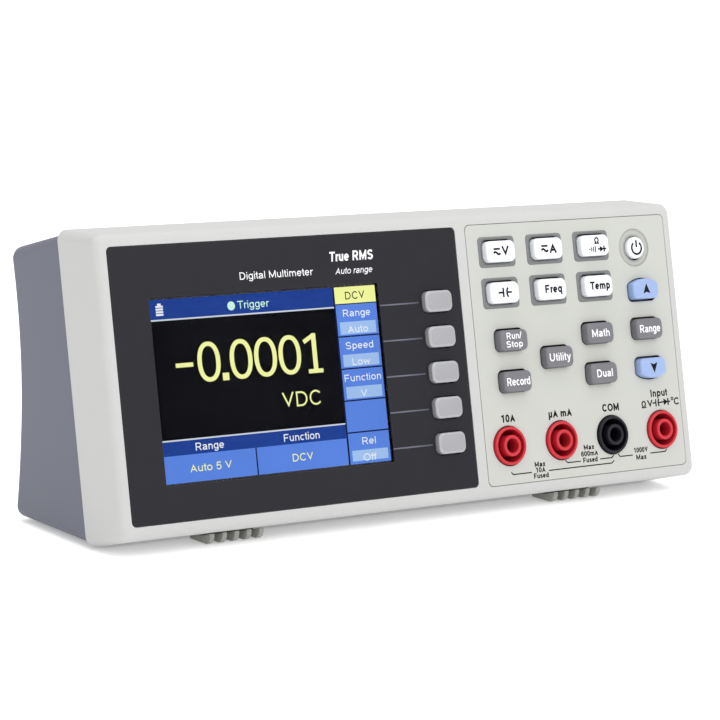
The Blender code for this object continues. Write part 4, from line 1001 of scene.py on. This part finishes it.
def capacitor(bm, cx, cz, w, h, t, y):
    gap = w * 0.13
    stroke(bm, [(cx - w / 2, cz), (cx - gap, cz)], t, y)
    stroke(bm, [(cx + gap, cz), (cx + w / 2, cz)], t, y)
    stroke(bm, [(cx - gap, cz - h / 2), (cx - gap, cz + h / 2)], t * 1.1, y)
    bow = [(cx + gap + 0.16 * h * (2 * k / 8 - 1) ** 2, cz - h / 2 + h * k / 8) for k in range(9)]
    stroke(bm, bow, t * 1.1, y)


def diode(bm, cx, cz, w, h, t, y):
    stroke(bm, [(cx - w / 2, cz), (cx - w * 0.24, cz)], t, y)
    stroke(bm, [(cx + w * 0.24, cz), (cx + w / 2, cz)], t, y)
    shape(bm, [(cx - w * 0.25, cz - h / 2), (cx + w * 0.22, cz), (cx - w * 0.25, cz + h / 2)], y)
    stroke(bm, [(cx + w * 0.24, cz - h / 2), (cx + w * 0.24, cz + h / 2)], t * 1.2, y)


def sound(bm, cx, cz, w, h, t, y):
    shape(bm, circle(t * 0.75, 12, cx - w / 2 + t, cz), y)
    for k in (1, 2, 3):
        r = w * (0.12 + 0.25 * k)
        half = math.degrees(math.asin(min(0.95, h / 2 / r * (0.45 + 0.18 * k))))
        stroke(bm, arc(cx - w / 2, cz, r, -half, half, 8), t, y)


def key_face(key):
    """Depth of a print on a key's front, a little proud of it."""
    return -KEYS[key]["out"] - 0.012


ON_FACE = -0.012                                    # prints on the flat face stand this far out

# leader lines from the window to the soft keys, and the panel's words
bm = sheet("case", "ink_line")
for key in SOFT:
    z = KEYS[key]["at"][1]
    stroke(bm, [(SCR[1] + 0.5, z - 0.05), (KEYS[key]["at"][0] - KEYS[key]["w"] / 2 - KEY_GAP - 1.0, z - 0.05)], 0.42, ON_FACE)
bm = sheet("case", "ink_white")
write(bm, "Digital Multimeter", (-43.4, 53.75), 2.0, ON_FACE, width=24.2, bold=0.002)
write(bm, "True RMS", (-18.2, 57.45), 2.7, ON_FACE, width=14.9, bold=0.035, shear=0.12)
write(bm, "Auto range", (-17.7, 53.4), 1.75, ON_FACE, width=12.6, bold=0.0, shear=0.25)

# white keys: a printed plate round each, and the legends
for key in WHITE:
    x, z = KEYS[key]["at"]
    ring(sheet("case", "ink_grey"), rounded(13.1, 8.8, 1.2, 10, x - 0.27, z + 0.02), film_opening(key, 0.03), ON_FACE)
    bm, y = sheet(key, "ink_black"), key_face(key)
    if key in ("key_voltage", "key_current"):
        ax = x - 1.75
        stroke(bm, [(ax - 1.15, z + 0.72), (ax + 1.15, z + 0.72)], 0.55, y)
        stroke(bm, wave(ax, z - 0.5, 2.4, 0.36), 0.60, y)
        write(bm, "V" if key == "key_voltage" else "A", (x + 1.3, z), 2.85, y, width=2.75, bold=0.038)
    elif key == "key_resistance":
        write(bm, "Ω", (x + 0.4, z + 1.35), 2.0, y, width=2.2, bold=0.045)
        sound(bm, x - 1.3, z - 1.15, 2.9, 1.8, 0.34, y)
        diode(bm, x + 2.2, z - 1.15, 3.2, 1.75, 0.42, y)
    elif key == "key_capacitance":
        capacitor(bm, x - 0.2, z, 4.8, 2.7, 0.52, y)
    else:
        write(bm, "Freq" if key == "key_frequency" else "Temp", (x, z + 0.1), 2.35, y, width=6.4 if key == "key_frequency" else 7.7, bold=0.045)

# grey keys
for key, word, wide in (("key_utility", "Utility", 7.8), ("key_record", "Record", 8.5), ("key_math", "Math", 6.6),
                        ("key_dual", "Dual", 6.1), ("key_range", "Range", 8.0)):
    x, z = KEYS[key]["at"]
    write(sheet(key, "ink_white"), word, (x - 0.15, z), 2.3, key_face(key), width=wide, bold=0.022)
x, z = KEYS["key_run_stop"]["at"]
write(sheet("key_run_stop", "ink_white"), "Run/", (x - 0.2, z + 1.27), 1.85, key_face("key_run_stop"), width=5.6, bold=0.022)
write(sheet("key_run_stop", "ink_white"), "Stop", (x - 0.2, z - 1.1), 1.85, key_face("key_run_stop"), width=5.9, bold=0.022)

# arrows, and the power key
for key, up in ARROWS.items():
    x, z = KEYS[key]["at"]
    flip = 1 if up else -1
    base = [(x - 1.33 + 2.66 * i / 8, z + flip * (-1.5 + 0.45 * (1 - (i / 4 - 1) ** 2))) for i in range(9)]
    shape(sheet(key, "ink_black"), [(x, z + flip * 1.5), *reversed(base)], key_face(key))
x, z = KEYS["power_button"]["at"]
bm = sheet("power_button", "ink_black")
y = key_face("power_button")
stroke(bm, arc(x, z - 0.1, 1.82, 128, 412, 32), 0.60, y)
stroke(bm, [(x, z + 0.1), (x, z + 2.2)], 0.58, y)
hole = film_opening("power_button", 0.03)
# the recessed dish's floor is coloured a little darker than the film
ring(sheet("case", "ink_dish"), [(DISH[0] + (DISH_R - 0.04) * math.cos(math.atan2(pz - DISH[1], px - DISH[0])),
                                  DISH[1] + (DISH_R - 0.04) * math.sin(math.atan2(pz - DISH[1], px - DISH[0]))) for px, pz in hole],
     hole, DISH_DEEP - 0.015)

# jack labels
bm = sheet("case", "ink_black")
x10, xma, xcom, xin = (JACKS[n][0] for n in ("10a", "milliamp", "com", "input"))
write(bm, "10A", (x10 + 0.4, 8.3), 2.2, ON_FACE, width=5.1, bold=0.045)
write(bm, "µA mA", (xma + 0.5, 8.3), 2.2, ON_FACE, width=8.6, bold=0.045)
write(bm, "COM", (xcom + 0.35, 8.45), 2.2, ON_FACE, width=6.3, bold=0.045)
write(bm, "Input", (xin + 0.35, 11.3), 2.15, ON_FACE, width=6.6, bold=0.035)
write(bm, "Ω", (xin - 5.95, 8.25), 2.15, ON_FACE, width=2.15, bold=0.035)
write(bm, "V", (xin - 3.55, 8.3), 2.15, ON_FACE, width=2.15, bold=0.035)
capacitor(bm, xin - 0.8, 8.4, 3.4, 2.1, 0.40, ON_FACE)
diode(bm, xin + 2.65, 8.45, 3.4, 2.0, 0.40, ON_FACE)
ring(bm, circle(0.52, 20, xin + 5.15, 9.2), circle(0.22, 20, xin + 5.15, 9.2), ON_FACE)
write(bm, "C", (xin + 6.75, 8.35), 2.15, ON_FACE, width=2.0, bold=0.035)

# current and voltage limits under the jacks, joined by brackets
LINE = 0.32
for points in ([(30.2, -7.1), (30.85, -7.8), (37.6, -7.8)], [(43.9, -7.8), (67.4, -7.75), (68.4, -7.1)],
               [(50.25, -5.5), (51.05, -6.2), (55.85, -6.2)], [(63.2, -6.2), (67.6, -6.2), (68.45, -5.55)],
               [(70.15, -5.4), (70.8, -6.15), (75.6, -6.15)], [(82.4, -6.15), (88.1, -6.15), (88.9, -5.5)]):
    stroke(bm, points, LINE, ON_FACE)
for x, rows in ((40.85, (("Max", -5.65), ("10A", -7.3), ("Fused", -8.95))), (59.45, (("Max", -2.35), ("600mA", -4.2), ("Fused", -6.05))),
                (78.85, (("1000V", -4.85), ("Max", -6.95)))):
    for word, row in rows:
        write(bm, word, (x, row), 1.48, ON_FACE, width={"Max": 3.9, "10A": 3.6, "Fused": 5.5, "600mA": 6.3, "1000V": 5.4}[word], bold=0.04)

NAMES = {("case", "ink_line"): "panel_leader_lines", ("case", "ink_white"): "panel_words", ("case", "ink_grey"): "key_plates",
         ("case", "ink_dish"): "power_dish", ("case", "ink_black"): "jack_labels"}
for (body, ink), bm in prints.items():
    name = NAMES.get((body, ink), f"{body}_legend")
    piece(name, bm, M[ink], body=body, thick=0.03)

# ---------------------------------------------------------------- display content, behind the window
SW, SH = SCR[1] - SCR[0], SCR[3] - SCR[2]
SCREEN_Y = lcd_low[1] - 0.06
screen = {}


def layer(colour):
    return screen.setdefault(colour, bmesh.new())


def cell(colour, u0, u1, v0, v1, lift=0.0):
    x0, x1 = SCR[0] + SW * u0, SCR[0] + SW * u1
    z0, z1 = SCR[3] - SH * v1, SCR[3] - SH * v0
    shape(layer(colour), rect(x0, x1, z0, z1), SCREEN_Y - lift)


def say(colour, string, u, v, cap, wide, bold=0.0, lift=0.04):
    write(layer(colour), string, (SCR[0] + SW * u, SCR[3] - SH * v), cap * SH, SCREEN_Y - lift, width=wide * SW, bold=bold)


COLUMN = 0.8125
cell("black", 0.0, 0.806, 0.0, 1.0)
cell("navy", 0.0, 0.807, 0.0, 0.108, 0.015)
cell("line", 0.0, 0.807, 0.108, 0.116, 0.015)
cell("line", 0.0, 0.806, 0.764, 0.772, 0.015)
cell("navy", 0.0, 0.806, 0.772, 0.850, 0.015)
cell("blue", 0.0, 0.3945, 0.850, 1.0, 0.015)
cell("blue", 0.4005, 0.8045, 0.850, 1.0, 0.015)
cell("shade", 0.3945, 0.4005, 0.850, 1.0, 0.015)
cell("shade", 0.8045, COLUMN, 0.0, 1.0, 0.015)
cell("cream", COLUMN, 1.0, 0.0, 0.094, 0.015)
rows = (0.100, 0.284, 0.466, 0.646, 0.826, 1.0)
for i, (top, bottom) in enumerate(zip(rows, rows[1:])):
    cell("blue", COLUMN, 1.0, top, bottom - (0.008 if i < 4 else 0.0), 0.015)
    if i != 3:
        cell("pale", COLUMN + 0.012, 0.989, top + 0.098, bottom - 0.016, 0.025)
cell("shade", COLUMN, 1.0, 0.094, 0.100, 0.012)
for v in rows[1:5]:
    cell("shade", COLUMN, 1.0, v - 0.008, v, 0.012)
say("dark", "DCV", 0.904, 0.050, 0.044, 0.092, 0.012)
for i, (word, value, wide, value_wide) in enumerate((("Range", "Auto", 0.128, 0.092), ("Speed", "Low", 0.126, 0.084),
                                                     ("Function", "V", 0.170, 0.030), (None, None, 0, 0), ("Rel", "Off", 0.064, 0.062))):
    if word:
        say("white", word, 0.905, rows[i] + 0.048, 0.040, wide, 0.008)
        say("white", value, 0.905, rows[i] + 0.140, 0.040, value_wide, 0.008)
say("mint", "Trigger", 0.446, 0.058, 0.042, 0.143, 0.004)
shape(layer("mint"), circle(0.0165 * SW, 32, SCR[0] + SW * 0.349, SCR[3] - SH * 0.061), SCREEN_Y - 0.04)
u0, u1, v0, v1 = 0.025, 0.056, 0.033, 0.092
cell("white", u0 + 0.008, u1 - 0.008, v0 - 0.012, v0, 0.04)
for k in range(4):
    step = (v1 - v0) / 4
    cell("white", u0, u1, v0 + step * k, v0 + step * (k + 1) - 0.004, 0.04)
say("white", "Range", 0.199, 0.811, 0.042, 0.125, 0.010)
say("white", "Function", 0.603, 0.813, 0.042, 0.162, 0.010)
say("yellow", "Auto 5 V", 0.197, 0.925, 0.042, 0.180, 0.004)
say("yellow", "DCV", 0.600, 0.927, 0.042, 0.094, 0.004)
say("yellow", "VDC", 0.620, 0.604, 0.083, 0.173, -0.002)

# the reading: thin digits, each drawn with one stroke
DIGIT_TOP, DIGIT_LOW, DIGIT_T = 0.246, 0.466, 0.019
bm = layer("yellow")
y = SCREEN_Y - 0.04


def on_screen(u, v):
    return SCR[0] + SW * u, SCR[3] - SH * v


def zero(u0, u1):
    (x0, z1), (x1, z0) = on_screen(u0, DIGIT_TOP), on_screen(u1, DIGIT_LOW)
    cx, cz, rx, rz = (x0 + x1) / 2, (z0 + z1) / 2, (x1 - x0) / 2, (z1 - z0) / 2
    t = DIGIT_T * SW
    outer = [(cx + rx * math.copysign(abs(math.cos(a)) ** 0.9, math.cos(a)), cz + rz * math.copysign(abs(math.sin(a)) ** 0.9, math.sin(a)))
             for a in (2 * math.pi * k / 64 for k in range(64))]
    inner = [(cx + (rx - t) * math.copysign(abs(math.cos(a)) ** 0.9, math.cos(a)), cz + (rz - t * 0.85) * math.copysign(abs(math.sin(a)) ** 0.9, math.sin(a)))
             for a in (2 * math.pi * k / 64 for k in range(64))]
    ring(bm, outer, inner, y)


stroke(bm, [on_screen(0.087, 0.364), on_screen(0.162, 0.364)], 1.15, y)
zero(0.181, 0.280)
shape(bm, rect(*[on_screen(0.284, 0)[0], on_screen(0.312, 0)[0], on_screen(0, DIGIT_LOW)[1], on_screen(0, 0.424)[1]]), y)
zero(0.321, 0.420)
zero(0.428, 0.528)
zero(0.536, 0.636)
stroke(bm, [on_screen(0.652, 0.292), on_screen(0.700, 0.254)], 1.2, y)
stroke(bm, [on_screen(0.698, 0.246), on_screen(0.698, 0.452)], 1.5, y)
stroke(bm, [on_screen(0.664, 0.457), on_screen(0.730, 0.457)], 1.15, y)
for colour, bm in screen.items():
    piece(f"screen_{colour}", bm, SCREEN[colour], thick=0.008)

# ---------------------------------------------------------------- camera, light, floor
camera = bpy.data.cameras.new("camera")
camera.lens = 155.61
camera.sensor_width = 36.0
camera.sensor_fit = "HORIZONTAL"
camera.clip_start, camera.clip_end = 0.05, 20.0
holder = bpy.data.objects.new("camera", camera)
bpy.context.scene.collection.objects.link(holder)
turn = Matrix(((0.81415, 0.07, -0.57641), (-0.57261, -0.06783, -0.81702), (-0.09629, 0.99524, -0.01514)))
place = turn.to_4x4()
place.translation = Vector((-513.618, -701.740, 15.472)) * MM
holder.matrix_world = FACE @ place
bpy.context.scene.camera = holder


def softbox(name, at, aim, size, power, colour=(1.0, 1.0, 1.0)):
    light = bpy.data.lights.new(name, "AREA")
    light.shape = "RECTANGLE"
    light.size, light.size_y = size
    light.energy = power
    light.color = colour
    obj = bpy.data.objects.new(name, light)
    bpy.context.scene.collection.objects.link(obj)
    obj.location = at
    obj.rotation_mode = "QUATERNION"
    obj.rotation_quaternion = (Vector(aim) - Vector(at)).to_track_quat("-Z", "Y")
    return obj


softbox("key_light", (0.15, -0.95, 0.75), (0.0, 0.0, 0.04), (0.9, 0.7), 5.6)
softbox("top_light", (0.0, 0.05, 1.1), (0.0, 0.0, 0.04), (1.2, 0.9), 6.0)
softbox("side_light", (-1.0, -0.25, 0.45), (0.0, 0.0, 0.04), (0.7, 0.7), 0.8, (0.96, 0.98, 1.0))

world = bpy.data.worlds.new("studio")
bpy.context.scene.world = world
world.use_nodes = True
world.node_tree.nodes["Background"].inputs["Color"].default_value = (1.0, 1.0, 1.0, 1.0)
world.node_tree.nodes["Background"].inputs["Strength"].default_value = 1.0

bm = bmesh.new()
bmesh.ops.create_grid(bm, x_segments=4, y_segments=4, size=6.0)
mesh = bpy.data.meshes.new("floor")
bm.to_mesh(mesh)
bm.free()
floor = bpy.data.objects.new("floor", mesh)
bpy.context.scene.collection.objects.link(floor)
floor.location = (0.0, 0.0, cad_low.z - 0.00005)
paper = surface("floor_paper", (0.93, 0.93, 0.93), 0.9, 1.5, 0.002, 0.01, 0.03, blotch=60.0, specular=0.1)
glow = paper.node_tree.nodes["Principled BSDF"]
glow.inputs["Emission Color"].default_value = (1.0, 1.0, 1.0, 1.0)
glow.inputs["Emission Strength"].default_value = 0.28
mesh.materials.append(paper)
floor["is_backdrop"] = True

bpy.context.scene.view_settings.view_transform = "Standard"
bpy.context.scene.view_settings.look = "None"
bpy.context.scene.view_settings.exposure = 0.0

low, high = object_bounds()
